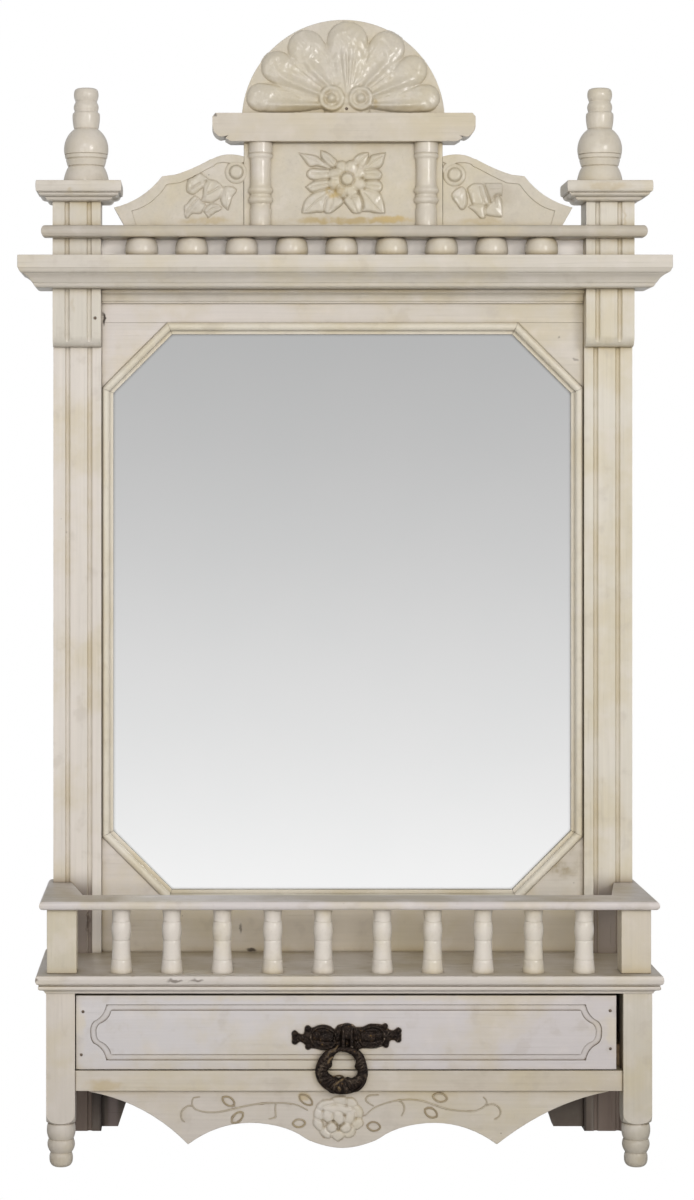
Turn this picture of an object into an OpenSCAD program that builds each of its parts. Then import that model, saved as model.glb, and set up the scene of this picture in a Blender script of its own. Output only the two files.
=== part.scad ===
// Wall mirror with a pediment, a balustered shelf and a small drawer.
// X runs to the right, -Y out of the wall and +Z up. The wall is the plane y = 0.
// Depths are measured out of the wall, and heights up from the tips of the feet.
// The part hangs with its origin midway between the two hanging holes.

/* [Back frame] */
// Width across the two pilasters
frame_w = 579; // [560:1:620]
// Width of one pilaster
pilaster_w = 48; // [44:0.5:54]
// Thickness of the pilasters
pilaster_t = 26; // [24:0.5:32]
// Height of the pilaster ends above the tips of the feet
pilaster_lift = 8; // [4:0.5:16]
// Plain strip between a pilaster's outer edge and its first groove
flute_edge = 12; // [9:0.5:13]
// Width of a groove
flute_w = 5; // [3:0.5:6]
// Depth of a groove
flute_d = 2.2; // [1:0.1:2.8]
// Raised strip between the two grooves
flute_strip = 17; // [14:0.5:19]
// Thickness of the boards between the pilasters
board_t = 18; // [16:0.5:20]
// Height of the lower board's ears above the tips of the feet
ear_lift = 11; // [6:0.5:18]
// Height of the cut-out between those ears
ear_h = 49; // [36:1:56]
// Width of each ear at its lower end
ear_w = 16.5; // [12:0.5:24]
ear_skew = 13.5; // [0:0.5:16]
// Distance between the two hanging holes
hang_pitch = 400; // [300:5:430]
// Diameter of a hanging hole
hang_d = 8; // [5:0.5:10]
// Depth of a hanging hole
hang_depth = 12; // [8:0.5:13]
// Height of the hanging holes above the frieze board's lower edge
hang_up = 43; // [25:1:60]

/* [Glass] */
// Height of the visible glass
sight_h = 558; // [500:1:620]
// Length cut off each side of the visible glass at its corners
corner_cut = 59; // [40:1:80]
// Width of the bead round the glass
bead_w = 11.5; // [9:0.5:14]
// How far the bead stands in front of the boards
bead_proud = 4; // [2:0.5:6]
// Width of the bead's low lip beside the glass
bead_lip = 3.5; // [2:0.5:4.5]
// Thickness of the mirror glass
glass_t = 4; // [3:0.5:5]
// Thickness of the backing board
backing_t = 3; // [2.5:0.5:4]
// Width of the rebate that holds glass and backing
rebate_w = 8; // [6:0.5:10]
// Play between the glass and the rebate's walls
glass_play = 1.5; // [0.5:0.25:2.5]
// Diameter of the sprigs that hold the backing in
sprig_d = 1.6; // [1.2:0.1:1.8]

/* [Frieze and cornice] */
// Visible height of the frieze, from the bead to the cornice
frieze_h = 32.5; // [28:0.5:45]
// Height of the stepped moulding under the cornice
bed_h = 13.5; // [10:0.5:18]
// How far that moulding stands in front of the frieze board
bed_proj = 14; // [8:0.5:16]
// Height of the cornice
cornice_h = 31; // [26:0.5:36]
// Reach of the cornice beyond the fluted blocks
cornice_proj = 33; // [26:0.5:40]
// Height of the cornice's plain upper face
fascia_h = 12.6; // [8:0.2:15]
// How far the fluted blocks stand in front of the pilasters
block_t = 15; // [10:0.5:20]
// How far the blocks reach below the cornice
block_drop = 57.5; // [40:0.5:70]
// Radius of the curve under a block's lower end
block_nose = 11; // [6:0.5:14]

/* [Attic] */
// Height of the row of turned beads
attic_h = 19; // [15:0.5:24]
// Number of beads
bead_count = 9; // [5:1:9]
// Distance from a block to the centre of the nearest bead
bead_end = 42.7; // [30:0.1:60]
// Largest diameter of a bead
attic_bead_d = 33; // [26:0.5:35]
// Distance of the bead centres from the wall
attic_bead_depth = 42; // [38:0.5:48]
// How far the row of beads is set to the right
attic_bead_shift = -2; // [-4:0.5:4]
// Thickness of the thin rail over the beads
attic_rail_t = 11.5; // [9:0.5:15]
// How far that rail passes the pilasters' outer sides
attic_rail_over = 10.5; // [6:0.5:18]
// How far that rail stands in front of the blocks
attic_rail_proj = 19; // [12:0.5:24]
// Height of the fluted blocks above the thin rail
block_rise = 25; // [18:0.5:36]
// Height of a block's cap
cap_h = 19.5; // [16:0.5:26]
// Reach of a cap beyond its block
cap_proj = 18.5; // [12:0.5:21]
// How far the caps are set inwards from the pilasters' middle
cap_shift = 2.5; // [0:0.5:4]
// Height of a finial
finial_h = 94.5; // [80:0.5:110]
// Diameter of a finial's ball
finial_d = 44.4; // [38:0.2:50]
// How far the finials are set inwards from the pilasters' middle
finial_shift = 9; // [0:0.5:12]

/* [Pediment] */
// Width of the centre block
crest_w = 198; // [170:1:220]
// Height of the centre block
crest_h = 84; // [72:1:100]
// Distance of the pediment's front from the wall
crest_front = 36; // [34:0.5:42]
// Thickness of the pediment boards
crest_t = 20; // [14:0.5:22]
// Width of a half column
column_w = 25; // [20:0.5:30]
// Distance from the block's edge to a half column
column_inset = 4; // [2:0.5:8]
// Gap between a wing's tip and the fluted block
wing_gap = 13; // [10:0.5:30]
// Height of a wing beside the centre block
wing_h = 73; // [60:0.5:80]
// Height of a wing's tip
wing_tip_h = 19.5; // [14:0.5:24]
// Width of the border that the wings' field is sunk within
wing_border = 8; // [6:0.5:10]
// Depth of the wings' sunk field
wing_sink = 1.2; // [0.6:0.1:2.5]
// Width of the board on top of the centre block
top_board_w = 261; // [248:1:280]
// Height of that board
top_board_h = 28; // [22:0.5:34]
// How far that board stands in front of the centre block
top_board_proj = 15; // [13:0.5:20]
// Radius of the shell board
shell_r = 101.2; // [85:0.2:112]
// How far the shell's centre lies below the top board's upper face
shell_sink = 6.6; // [2:0.2:12]
// Relief of the carved shell
shell_relief = 9; // [5:0.5:11]
// How far the carvings are set to the right
carving_shift = 4; // [-4:0.5:4]
// Number of lobes in the shell
shell_lobes = 7; // [5:2:9]
// Width of the two battens behind the pediment
batten_w = 30; // [20:1:40]
// Distance between those battens' centres
batten_pitch = 120; // [80:1:140]
// How far the battens reach up behind the shell
batten_up = 55; // [30:1:70]

/* [Case and feet] */
// Height of the shelf's underside above the tips of the feet
leg_len = 168; // [155:1:185]
// Width of a leg
leg_w = 27.5; // [27:0.5:34]
// Height of the turned foot
foot_h = 62; // [54:0.5:70]
// Distance of the legs' front from the wall
case_d = 156; // [146:1:180]
// Thickness of the side panels
side_t = 12; // [9:0.5:14]
// How far the side panels lie inside the legs' outer face
side_inset = 6; // [3:0.5:8]
// Height of the rail under the drawer
front_rail_h = 19.5; // [16:0.5:24]
// How far that rail lies behind the legs' front
front_rail_set = 3; // [1:0.5:5]
// Full height of the apron
apron_h = 56; // [48:0.5:58]
// Thickness of the apron
apron_t = 12; // [9:0.5:15]
// How far the apron's face lies behind the legs' front
apron_set = 9.5; // [9:0.5:13]
// Gap between the apron's ends and the legs
apron_gap = 13; // [8:0.5:20]
// How far the apron's sawn outline is set to the right
apron_shift = -6; // [-8:0.5:8]
// Height of a drawer runner
runner_h = 16; // [12:0.5:20]
// How far a runner reaches under the drawer
runner_reach = 20; // [14:0.5:24]
// Height of the guide strips beside the drawer
guide_h = 20; // [12:0.5:30]

/* [Drawer] */
// Height of the drawer front
drawer_h = 70.6; // [62:0.2:76]
// Gap over the drawer front
drawer_gap_top = 3; // [1:0.5:6]
// Gap under the drawer front
drawer_gap_under = 0.9; // [0.5:0.1:2]
// Gap at the drawer front's left end
drawer_gap_left = 0.9; // [0.5:0.1:3]
// Gap at the drawer front's right end
drawer_gap_right = 6.2; // [0.5:0.1:7]
// How far the drawer front lies behind the legs' front
drawer_set = 5; // [3:0.5:5]
// Thickness of the drawer front
drawer_front_t = 15; // [13:0.5:18]
// Thickness of the drawer's sides and back
drawer_side_t = 10; // [8:0.5:12]
// Height of the drawer's sides
drawer_side_h = 60; // [48:0.5:61]
// Gap between the drawer box and the pilasters behind it
drawer_rear_gap = 8; // [4:0.5:20]
// Thickness of the drawer's bottom
drawer_base_t = 4; // [3:0.5:5]
// Height of the bottom's groove above the drawer's lower edge
drawer_base_up = 6; // [4:0.5:9]
// Depth of that groove
groove_d = 4; // [3:0.5:5]
// Distance from the drawer front's ends to the routed border
field_end = 15; // [10:0.5:25]
// Distance from the drawer front's upper and lower edges to the routed border
field_edge = 8.5; // [6:0.5:12]
// Width of the routed border
field_rout = 6; // [4:0.5:7]
// Depth of the routed border
field_depth = 1.8; // [1:0.1:3]
// Clearance between the drawer and its runners
slide_fit = 0.3; // [0.2:0.1:0.6]

/* [Drawer pull] */
// Thickness of the cast plate
plate_t = 2.5; // [2:0.25:4]
// Half the length of the cast plate, to the middle of its end knobs
plate_reach = 49.5; // [46:0.5:54]
// Radius of the plate's middle disc
plate_disc_r = 13; // [11:0.5:14]
// How far the plate's middle is set to the right
pull_shift = -2.4; // [-6:0.2:6]
// Distance of the ring's hinge line from the plate's face
pivot_off = 5; // [4.6:0.1:6]
// Distance of that hinge line below the plate's middle
pivot_drop = 3; // [1:0.5:5]
// Diameter of the ring's bar in the knuckle
pull_bar_d = 4.4; // [3.6:0.1:4.8]
// Radial clearance of that bar
pull_fit = 0.08; // [0.03:0.01:0.1]
// Width of the knuckle
knuckle_w = 9; // [7:0.5:11]
// Largest thickness of the ring, front to back
ring_t = 6.6; // [5:0.2:7]
// Drop of the ring, from the hinge line to its lowest point
ring_drop = 51; // [44:0.5:54]
// Outer width of the ring
ring_w = 51; // [48:0.5:56]
// How far the ring has slid along its bar
ring_slide = -4; // [-4:0.5:4]
// Diameter of the two screws that hold the plate
screw_d = 3; // [2:0.25:3.5]

/* [Shelf and gallery] */
// Thickness of the shelf
shelf_t = 18; // [15:0.5:22]
// How far the shelf passes the legs, at the front and the sides
shelf_over = 10; // [6:0.5:14]
// Width of a gallery post
post_w = 28.5; // [24:0.5:29]
// Height of the gallery's posts
post_h = 62; // [52:0.5:75]
// How far the posts lie behind the legs' front
post_set = 3; // [1:0.5:6]
// Thickness of the gallery rail
gallery_t = 8.5; // [7:0.5:12]
// How far the gallery rail passes the posts in front
gallery_nose = 10.5; // [6:0.5:12]
// How far the gallery rail passes the pilasters' outer sides
gallery_over = 6.5; // [4:0.5:12]
// Width of the gallery's front rail
gallery_w = 46; // [40:0.5:52]
// Width of a side rail where it meets the front rail
return_w = 40; // [34:0.5:44]
// Width of a side rail at the wall
return_end_w = 21; // [16:0.5:26]
// Balusters on each side of the middle
baluster_side = 5; // [3:1:5]
// Distance from a post to the centre of the nearest baluster
baluster_end = 38.5; // [24:0.1:50]
// Distance between the two middle balusters
baluster_gap = 56.7; // [40:0.1:66]
// How far the row of balusters is set to the right
baluster_shift = 4; // [-5:0.5:5]
// Diameter of a baluster's foot
baluster_d = 21; // [18:0.5:24]
// Diameter of the pegs on turned pieces
peg_d = 8; // [6:0.5:9]
// Length of those pegs
peg_len = 5; // [4:0.5:6]
// Radial clearance of the pegs
peg_fit = 0.15; // [0.05:0.05:0.3]
// Visible height of the lower board above the shelf
lower_board_h = 50; // [40:1:70]

/* [Hidden] */
$fn = 48;

// Colours
paint = [0.82, 0.79, 0.72];
paint_pale = [0.84, 0.80, 0.78];
bare_wood = [0.66, 0.55, 0.40];
silver = [0.85, 0.87, 0.88];
bronze = [0.16, 0.13, 0.11];

// Half widths of the back frame
half_w = frame_w / 2;
inner_x = half_w - pilaster_w;
pilaster_x = half_w - pilaster_w / 2;
block_d = pilaster_t + block_t;
finial_depth = block_d / 2 + 8;
rebate_d = glass_t + backing_t + 2;
mitre_gap = 0.06;

// Heights, from the tips of the feet upwards
shelf_z = leg_len + shelf_t;
gallery_z = shelf_z + post_h;
lower_top = shelf_z + lower_board_h;
sight_z = lower_top + bead_w;
frieze_z = sight_z + sight_h + bead_w;
cornice_z = frieze_z + frieze_h;
attic_z = cornice_z + cornice_h;
attic_rail_z = attic_z + attic_h;
crest_z = attic_rail_z + attic_rail_t;
cap_z = crest_z + block_rise;
finial_z = cap_z + cap_h;
top_board_z = crest_z + crest_h;
shell_z = top_board_z + top_board_h;
hang_z = frieze_z + hang_up;
glass_low = lower_top - rebate_w + glass_play;
glass_high = frieze_z + rebate_w - glass_play;
glass_x = inner_x + rebate_w - glass_play;

// Drawer case
opening_x = half_w - leg_w;
leg_back = case_d - leg_w;
side_x = half_w - side_inset - side_t;
drawer_z = leg_len - drawer_gap_top - drawer_h;
runner_z = drawer_z - slide_fit;
front_rail_z = drawer_z - drawer_gap_under - front_rail_h;
drawer_face = case_d - drawer_set;
drawer_low = -opening_x + drawer_gap_left;
drawer_high = opening_x - drawer_gap_right;
drawer_rear = pilaster_t + drawer_rear_gap;
base_z = drawer_z + drawer_base_up;
plate_z = drawer_z + 32.2;
plate_face = drawer_face + plate_t;
pivot_z = plate_z - pivot_drop;
pivot_d = plate_face + pivot_off;
shelf_front = case_d + shelf_over;
gallery_front = case_d - post_set + gallery_nose;
baluster_depth = gallery_front - gallery_w / 2 + 2;
post_d = case_d - post_set;
wing_len = inner_x - wing_gap - crest_w / 2;
post_x = half_w - post_w - 0.5;
bead_pitch = 2 * (inner_x - bead_end) / (bead_count - 1);
baluster_pitch = (post_x - baluster_end - baluster_gap / 2) / (baluster_side - 1);

// Points on a circle, on an ellipse, on a curve drawn towards one control point
function arc(c, r, a0, a1, n = 8) = oval(c, r, r, a0, a1, n);
function oval(c, rx, ry, a0, a1, n = 8) =
    [for (i = [0:n]) let (a = a0 + (a1 - a0) * i / n) c + [rx * cos(a), ry * sin(a)]];
function bend(a, c, b, n = 8) =
    [for (i = [0:n]) let (t = i / n) (1 - t) * (1 - t) * a + 2 * t * (1 - t) * c + t * t * b];
function flip(points) = [for (i = [len(points) - 1:-1:0]) [-points[i][0], points[i][1]]];

// A smooth curve through a few points, any number of values each
function spline(p, n = 3) = concat(
    [for (k = [0:len(p) - 2]) for (i = [0:n - 1])
        let (t = i / n, a = p[max(k - 1, 0)], b = p[k], c = p[k + 1], d = p[min(k + 2, len(p) - 1)])
        (2 * b + t * (c - a) + t * t * (2 * a - 5 * b + 4 * c - d)
            + t * t * t * (3 * b - a - 3 * c + d)) / 2],
    [p[len(p) - 1]]);

// A board between two places across, two depths and two heights
module board(x0, x1, d0, d1, z0, z1) {
    translate([x0, -d1, z0]) cube([x1 - x0, d1 - d0, z1 - z0]);
}

// A front view drawing, given a thickness between two depths
module sawn(d0, d1) {
    translate([0, -d0, 0]) rotate([90, 0, 0]) linear_extrude(d1 - d0) children();
}

// A side view drawing, run between two places across
module run(x0, x1) {
    translate([x0, 0, 0]) rotate([90, 0, 90]) linear_extrude(x1 - x0) children();
}

// A turned piece standing at a place and height
module turned(x, d, z, profile) {
    translate([x, -d, z]) rotate_extrude() polygon(profile);
}

module mirrored(flipped) {
    if (flipped) mirror([1, 0, 0]) children();
    else children();
}

// Moves a piece from its height over the feet to its place about the hanging holes
module hung() {
    translate([0, 0, -hang_z]) children();
}

// A slab with a moulded edge at its front and both sides, mitred at the corners.
// The edge is a list of reach and height from top to bottom.
module moulded_slab(edge, half, depth) {
    top = edge[0][1];
    low = edge[len(edge) - 1][1];
    right = [for (e = edge) [half + e[0], e[1]]];
    intersection() {
        run(-2 * half, 2 * half)
            polygon(concat([[0, top]], [for (e = edge) [-depth - e[0], e[1]]], [[0, low]]));
        sawn(0, 2 * depth + 200) polygon(concat(right, flip(right)));
    }
}

// Plan of a fluted strip whose outer edge is at the left
module fluted_plan(d0, d1) {
    groove_r = (flute_w * flute_w / 4 + flute_d * flute_d) / (2 * flute_d);
    difference() {
        translate([-half_w, -d1]) square([pilaster_w, d1 - d0]);
        for (x = [flute_edge + flute_w / 2, flute_edge + flute_strip + flute_w * 1.5])
            translate([x - half_w, flute_d - d1 - groove_r]) circle(groove_r);
    }
}

// Back frame

sprig_len = 2 * (rebate_w - 1);
sprig_depth = rebate_d - glass_t - backing_t - sprig_d / 2 - 0.05;
sprig_heights = [for (k = [1:4]) glass_low + (glass_high - glass_low) * k / 5];
sprig_places = [-inner_x / 2, inner_x / 2];

module side_sprig(z, r) {
    translate([-inner_x - rebate_w - sprig_len / 2, -sprig_depth, z])
        rotate([0, 90, 0]) cylinder(h = sprig_len, r = r, $fn = 16);
}

module end_sprig(x, z, r) {
    translate([x, -sprig_depth, z - sprig_len / 2]) cylinder(h = sprig_len, r = r, $fn = 16);
}

module pilaster(flipped) {
    color(paint) mirrored(flipped) difference() {
        translate([0, 0, pilaster_lift]) linear_extrude(cap_z - pilaster_lift)
            fluted_plan(0, pilaster_t);
        board(-inner_x - rebate_w, -inner_x + 1, -1, rebate_d,
            lower_top - rebate_w, frieze_z + rebate_w);
        for (z = sprig_heights) side_sprig(z, sprig_d / 2 + 0.05);
    }
}

module frieze_board() {
    color(paint_pale) difference() {
        board(-inner_x, inner_x, 0, board_t, frieze_z, attic_rail_z);
        board(-inner_x - 1, inner_x + 1, -1, rebate_d, frieze_z - 1, frieze_z + rebate_w);
        for (x = sprig_places) end_sprig(x, frieze_z + rebate_w, sprig_d / 2 + 0.05);
        for (x = [-hang_pitch / 2, hang_pitch / 2])
            translate([x, 1, hang_z]) rotate([90, 0, 0]) cylinder(h = hang_depth + 1, d = hang_d);
    }
}

module lower_board() {
    ear_x = inner_x - ear_w;
    ear_right = ear_x - ear_skew;
    slope = ear_h / 3;
    color(paint_pale) difference() {
        board(-inner_x, inner_x, 0, board_t, ear_lift, lower_top);
        board(-inner_x - 1, inner_x + 1, -1, rebate_d, lower_top - rebate_w, lower_top + 1);
        for (x = sprig_places) end_sprig(x, lower_top - rebate_w, sprig_d / 2 + 0.05);
        sawn(-1, board_t + 1) polygon([
            [-ear_x - slope / ear_h, ear_lift - 1], [ear_right + slope / ear_h, ear_lift - 1],
            [ear_right - slope, ear_lift + ear_h], [slope - ear_x, ear_lift + ear_h]]);
    }
}

// Eight corners of the glass opening, grown by a width, anticlockwise from below
function opening_points(grow) =
    let (x = inner_x - bead_w + grow, low = sight_z - grow, high = sight_z + sight_h + grow,
        c = corner_cut + grow * (2 - sqrt(2)))
    [[x - c, low], [x, low + c], [x, high - c], [x - c, high],
        [c - x, high], [-x, high - c], [-x, low + c], [c - x, low]];

module corner_boards() {
    leg = corner_cut + bead_w * (2 - sqrt(2));
    color(paint_pale) for (flipped = [false, true]) mirrored(flipped) {
        sawn(rebate_d, board_t) polygon([
            [inner_x, lower_top], [inner_x, lower_top + leg], [inner_x - leg, lower_top]]);
        sawn(rebate_d, board_t) polygon([
            [inner_x, frieze_z], [inner_x - leg, frieze_z], [inner_x, frieze_z - leg]]);
    }
}

// Section of the bead, glass side at the origin: a low lip, then a rounded back
module bead_section() {
    r = (bead_w - bead_lip) / 2;
    front = board_t + bead_proud;
    polygon(concat([[-rebate_d, 0], [-rebate_d - 4, 0], [-rebate_d - 4, -bead_lip]],
        arc([r - front, -bead_lip - r], r, 90, 270, 8), [[-rebate_d, -bead_w]]));
}

module glass_beads() {
    a = opening_points(0);
    b = opening_points(bead_w);
    color(paint) for (k = [0:7]) {
        n = (k + 1) % 8;
        along = a[n] - a[k];
        gap = mitre_gap / 2 * along / norm(along);
        intersection() {
            sawn(rebate_d, board_t + bead_proud)
                polygon([a[k] + gap, a[n] - gap, b[n] - gap, b[k] + gap]);
            translate([a[k][0], 0, a[k][1]]) rotate([0, -atan2(along[1], along[0]), 0])
                run(-bead_w, norm(along) + bead_w) bead_section();
        }
    }
}

module mirror_glass() {
    color(silver)
        board(-glass_x, glass_x, rebate_d - glass_t, rebate_d, glass_low, glass_high);
}

module backing_board() {
    front = rebate_d - glass_t;
    color(bare_wood)
        board(-glass_x, glass_x, front - backing_t, front, glass_low, glass_high);
}

module backing_sprigs() {
    color(bronze) {
        for (flipped = [false, true]) mirrored(flipped)
            for (z = sprig_heights) side_sprig(z, sprig_d / 2);
        for (x = sprig_places) {
            end_sprig(x, frieze_z + rebate_w, sprig_d / 2);
            end_sprig(x, lower_top - rebate_w, sprig_d / 2);
        }
    }
}

// Frieze and cornice

module upper_block(flipped) {
    low = cornice_z - block_drop;
    color(paint) mirrored(flipped) difference() {
        translate([0, 0, low]) linear_extrude(cap_z - low) fluted_plan(pilaster_t, block_d);
        difference() {
            board(-half_w - 1, -inner_x + 1, block_d - block_nose, block_d + 1,
                low - 1, low + block_nose);
            translate([-half_w - 2, block_nose - block_d, low + block_nose])
                rotate([0, 90, 0]) cylinder(h = pilaster_w + 4, r = block_nose);
        }
    }
}

module bed_moulding() {
    low = cornice_z - bed_h;
    front = board_t + bed_proj;
    step = bed_proj / 5;
    color(paint) run(-inner_x, inner_x) polygon(concat(
        [[-board_t, low], [-board_t - step, low]],
        [[-board_t - step, low + bed_h / 6], [-board_t - 1.5 * step, low + bed_h / 6]],
        bend([-board_t - 1.5 * step, low + bed_h / 5], [-board_t - 1.7 * step, low + bed_h * 0.7],
            [step / 2 - front, low + bed_h * 0.72]),
        [[-front, low + bed_h * 0.76], [-front, cornice_z], [-board_t, cornice_z]]));
}

// Reach and height of the cornice edge: fascia, ovolo, cove, bead and a plain foot
function cornice_edge() =
    let (p = cornice_proj, h = cornice_h - fascia_h, top = attic_z - fascia_h)
    concat([[p, attic_z], [p, top], [p - 0.8, top - 0.4]],
        bend([p - 0.8, top - 0.4], [p - 1.5, top - h * 0.25], [p * 0.84, top - h * 0.28], 5),
        bend([p * 0.82, top - h * 0.32], [p * 0.68, top - h * 0.44], [p * 0.58, top - h * 0.76], 7),
        bend([p * 0.55, top - h * 0.78], [p * 0.54, top - h * 0.98], [p * 0.42, cornice_z], 4),
        [[p * 0.35, cornice_z]]);

module cornice_slab() {
    difference() {
        moulded_slab(cornice_edge(), half_w, block_d);
        board(-half_w, half_w, -1, board_t, cornice_z - 1, attic_z + 1);
        for (flipped = [false, true]) mirrored(flipped)
            board(-half_w, -inner_x, -1, block_d, cornice_z - 1, attic_z + 1);
    }
}

// Plan of the mitred return at the left end
module return_plan() {
    far = cornice_proj + 10;
    polygon([[-half_w, 0], [-half_w, -block_d], [-half_w - far, -block_d - far],
        [-half_w - far, 0]]);
}

module cornice_front() {
    color(paint) difference() {
        cornice_slab();
        board(-frame_w, frame_w, -1, board_t, cornice_z - 1, attic_z + 1);
        for (flipped = [false, true]) mirrored(flipped)
            translate([0, 1, cornice_z - 1]) linear_extrude(cornice_h + 2)
                translate([0, -1]) return_plan();
    }
}

module cornice_return(flipped) {
    color(paint) mirrored(flipped) intersection() {
        cornice_slab();
        translate([0, 0, cornice_z - 1]) linear_extrude(cornice_h + 2) return_plan();
    }
}

// Attic

module attic_beads() {
    r = attic_bead_d / 2;
    first = attic_bead_shift - (bead_count - 1) * bead_pitch / 2;
    profile = concat([[0, 0]], bend([r * 0.86, 0], [r * 1.05, attic_h * 0.2], [r, attic_h * 0.45]),
        bend([r, attic_h * 0.48], [r * 0.95, attic_h * 0.85], [r * 0.72, attic_h]), [[0, attic_h]]);
    color(paint) for (k = [0:bead_count - 1])
        turned(first + k * bead_pitch, attic_bead_depth, attic_z, profile);
}

module attic_rail() {
    edge = oval([-3.5, attic_rail_z + attic_rail_t / 2], 3.5, attic_rail_t / 2, 90, -90, 10);
    color(paint) difference() {
        moulded_slab(edge, half_w + attic_rail_over, block_d + attic_rail_proj);
        for (flipped = [false, true]) mirrored(flipped)
            board(-frame_w, -inner_x, -1, block_d, attic_rail_z - 1, crest_z + 1);
    }
}

// Reach and height of a cap's edge: fascia, then two rounded steps
function cap_edge() =
    let (p = cap_proj, h = cap_h)
    concat(bend([p - 0.6, finial_z], [p + 0.4, finial_z - h * 0.1], [p - 0.2, finial_z - h * 0.5], 4),
        [[p - 0.8, finial_z - h * 0.56], [p - 2.6, finial_z - h * 0.58]],
        bend([p - 2.6, finial_z - h * 0.6], [p - 3, finial_z - h * 0.78],
            [p * 0.58, finial_z - h * 0.8], 4),
        bend([p * 0.5, finial_z - h * 0.82], [p * 0.46, finial_z - h * 0.98], [p * 0.25, cap_z], 4));

module cap(flipped) {
    color(paint) mirrored(flipped) difference() {
        translate([cap_shift - pilaster_x, 0, 0])
            moulded_slab(cap_edge(), pilaster_w / 2, block_d);
        translate([finial_shift - pilaster_x, -finial_depth, finial_z - 2 * peg_len])
            cylinder(h = 3 * peg_len, r = peg_d / 2 + peg_fit);
    }
}

// Radius and height of a finial: flared base, scored ball, tapered neck, ring and drum
function finial_profile() =
    let (r = finial_d / 2, h = finial_h)
    concat([[0, 1 - 2 * peg_len], [peg_d / 2, 1 - 2 * peg_len], [peg_d / 2, 0]],
        bend([r * 1.035, 0], [r * 0.99, h * 0.1], [r * 0.82, h * 0.165], 5),
        [[r * 0.8, h * 0.172], [r * 0.84, h * 0.18]],
        [[r * 0.91, h * 0.24], [r * 0.89, h * 0.25], [r * 0.94, h * 0.26]],
        [[r * 0.965, h * 0.29], [r * 0.945, h * 0.3]],
        oval([0, h * 0.355], r, h * 0.254, -12, 56, 10),
        [[r * 0.54, h * 0.57]],
        bend([r * 0.56, h * 0.58], [r * 0.63, h * 0.66], [r * 0.615, h * 0.72], 5),
        bend([r * 0.6, h * 0.735], [r * 0.52, h * 0.745], [r * 0.525, h * 0.76], 3),
        bend([r * 0.54, h * 0.77], [r * 0.6, h * 0.81], [r * 0.49, h * 0.85], 5),
        bend([r * 0.48, h * 0.86], [r * 0.58, h * 0.91], [r * 0.55, h * 0.95], 5),
        bend([r * 0.54, h * 0.965], [r * 0.5, h], [r * 0.34, h], 4), [[0, h]]);

module finial(flipped) {
    color(paint) mirrored(flipped)
        turned(finial_shift - pilaster_x, finial_depth, finial_z, finial_profile());
}

// Carving

// A carved form on a flat ground, drawn outwards from one point.
// rim gives its outline and rise its height at a share of the way to the rim.
module carved(rim, rise, a0, a1, na, nr) {
    closed = a1 - a0 == 360;
    rows = closed ? na : na + 1;
    face = concat([[0, -rise(a0, 0), 0]],
        [for (i = [0:rows - 1]) for (j = [1:nr])
            let (a = a0 + (a1 - a0) * i / na, r = rim(a) * j / nr)
            [r * cos(a), -rise(a, j / nr), r * sin(a)]]);
    n = len(face);
    ground = concat([[0, 0, 0]], [for (i = [1:rows]) [face[i * nr][0], 0, face[i * nr][2]]]);
    polyhedron(concat(face, ground), concat(
        [for (i = [0:na - 1]) let (p = 1 + i * nr, q = 1 + ((i + 1) % rows) * nr) [0, q, p]],
        [for (i = [0:na - 1]) for (j = [0:nr - 2])
            let (p = 1 + i * nr + j, q = 1 + ((i + 1) % rows) * nr + j)
            each [[p, q, p + 1], [q, q + 1, p + 1]]],
        [for (i = [0:na - 1])
            let (k = (i + 1) % rows, p = (i + 1) * nr, q = (k + 1) * nr, b = n + 1 + i, c = n + 1 + k)
            each [[n, b, c], [p, q, b], [q, c, b]]],
        closed ? [] : concat(
            [for (j = [0:nr - 1]) [j, j + 1, n]], [[n, nr, n + 1]],
            [for (j = [0:nr - 1])
                let (s = (rows - 1) * nr) [j == 0 ? 0 : s + j, n, s + j + 1]],
            [[n, n + rows, rows * nr]])));
}

// A pointed leaf with a sunk midrib, from its root to its tip
module leaf(root, tip, width, relief) {
    length = norm(tip - root);
    turn = atan2(tip[1] - root[1], tip[0] - root[0]);
    steps = 8;
    side = 3;
    half = function(t) width / 2 * sin(180 * pow(t, 0.75));
    face = [for (i = [1:steps - 1]) for (j = [-side:side])
        let (t = i / steps, v = j / side)
        [length * t, -relief * (0.25 + 0.75 * sin(180 * t) * (1 - v * v) * (0.45 + abs(v))),
            half(t) * v]];
    cols = 2 * side + 1;
    m = len(face);
    ground = [for (i = [1:steps - 1]) for (v = [-1, 1]) [length * i / steps, 0, half(i / steps) * v]];
    tips = [[0, 0, 0], [length, 0, 0]];
    last = steps - 2;
    g = m;
    a = m + len(ground);
    b = a + 1;
    translate([root[0], 0, root[1]]) rotate([0, -turn, 0])
    polyhedron(concat(face, ground, tips), concat(
        [for (i = [0:last - 1]) for (j = [0:cols - 2])
            let (p = i * cols + j, q = p + cols) each [[p, p + 1, q + 1], [p, q + 1, q]]],
        [for (j = [0:cols - 2]) each [[a, j + 1, j],
            [b, last * cols + j, last * cols + j + 1]]],
        [for (i = [0:last - 1])
            let (p = i * cols, q = p + cols, r = p + cols - 1, s = q + cols - 1, k = g + 2 * i)
            each [[p, q, k + 2], [p, k + 2, k], [r, k + 1, k + 3], [r, k + 3, s],
                [k, k + 2, k + 3], [k, k + 3, k + 1]]],
        [[a, 0, g], [a, g, g + 1], [a, g + 1, cols - 1]],
        [[b, g + 2 * last, last * cols], [b, g + 2 * last + 1, g + 2 * last],
            [b, last * cols + cols - 1, g + 2 * last + 1]]));
}

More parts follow.
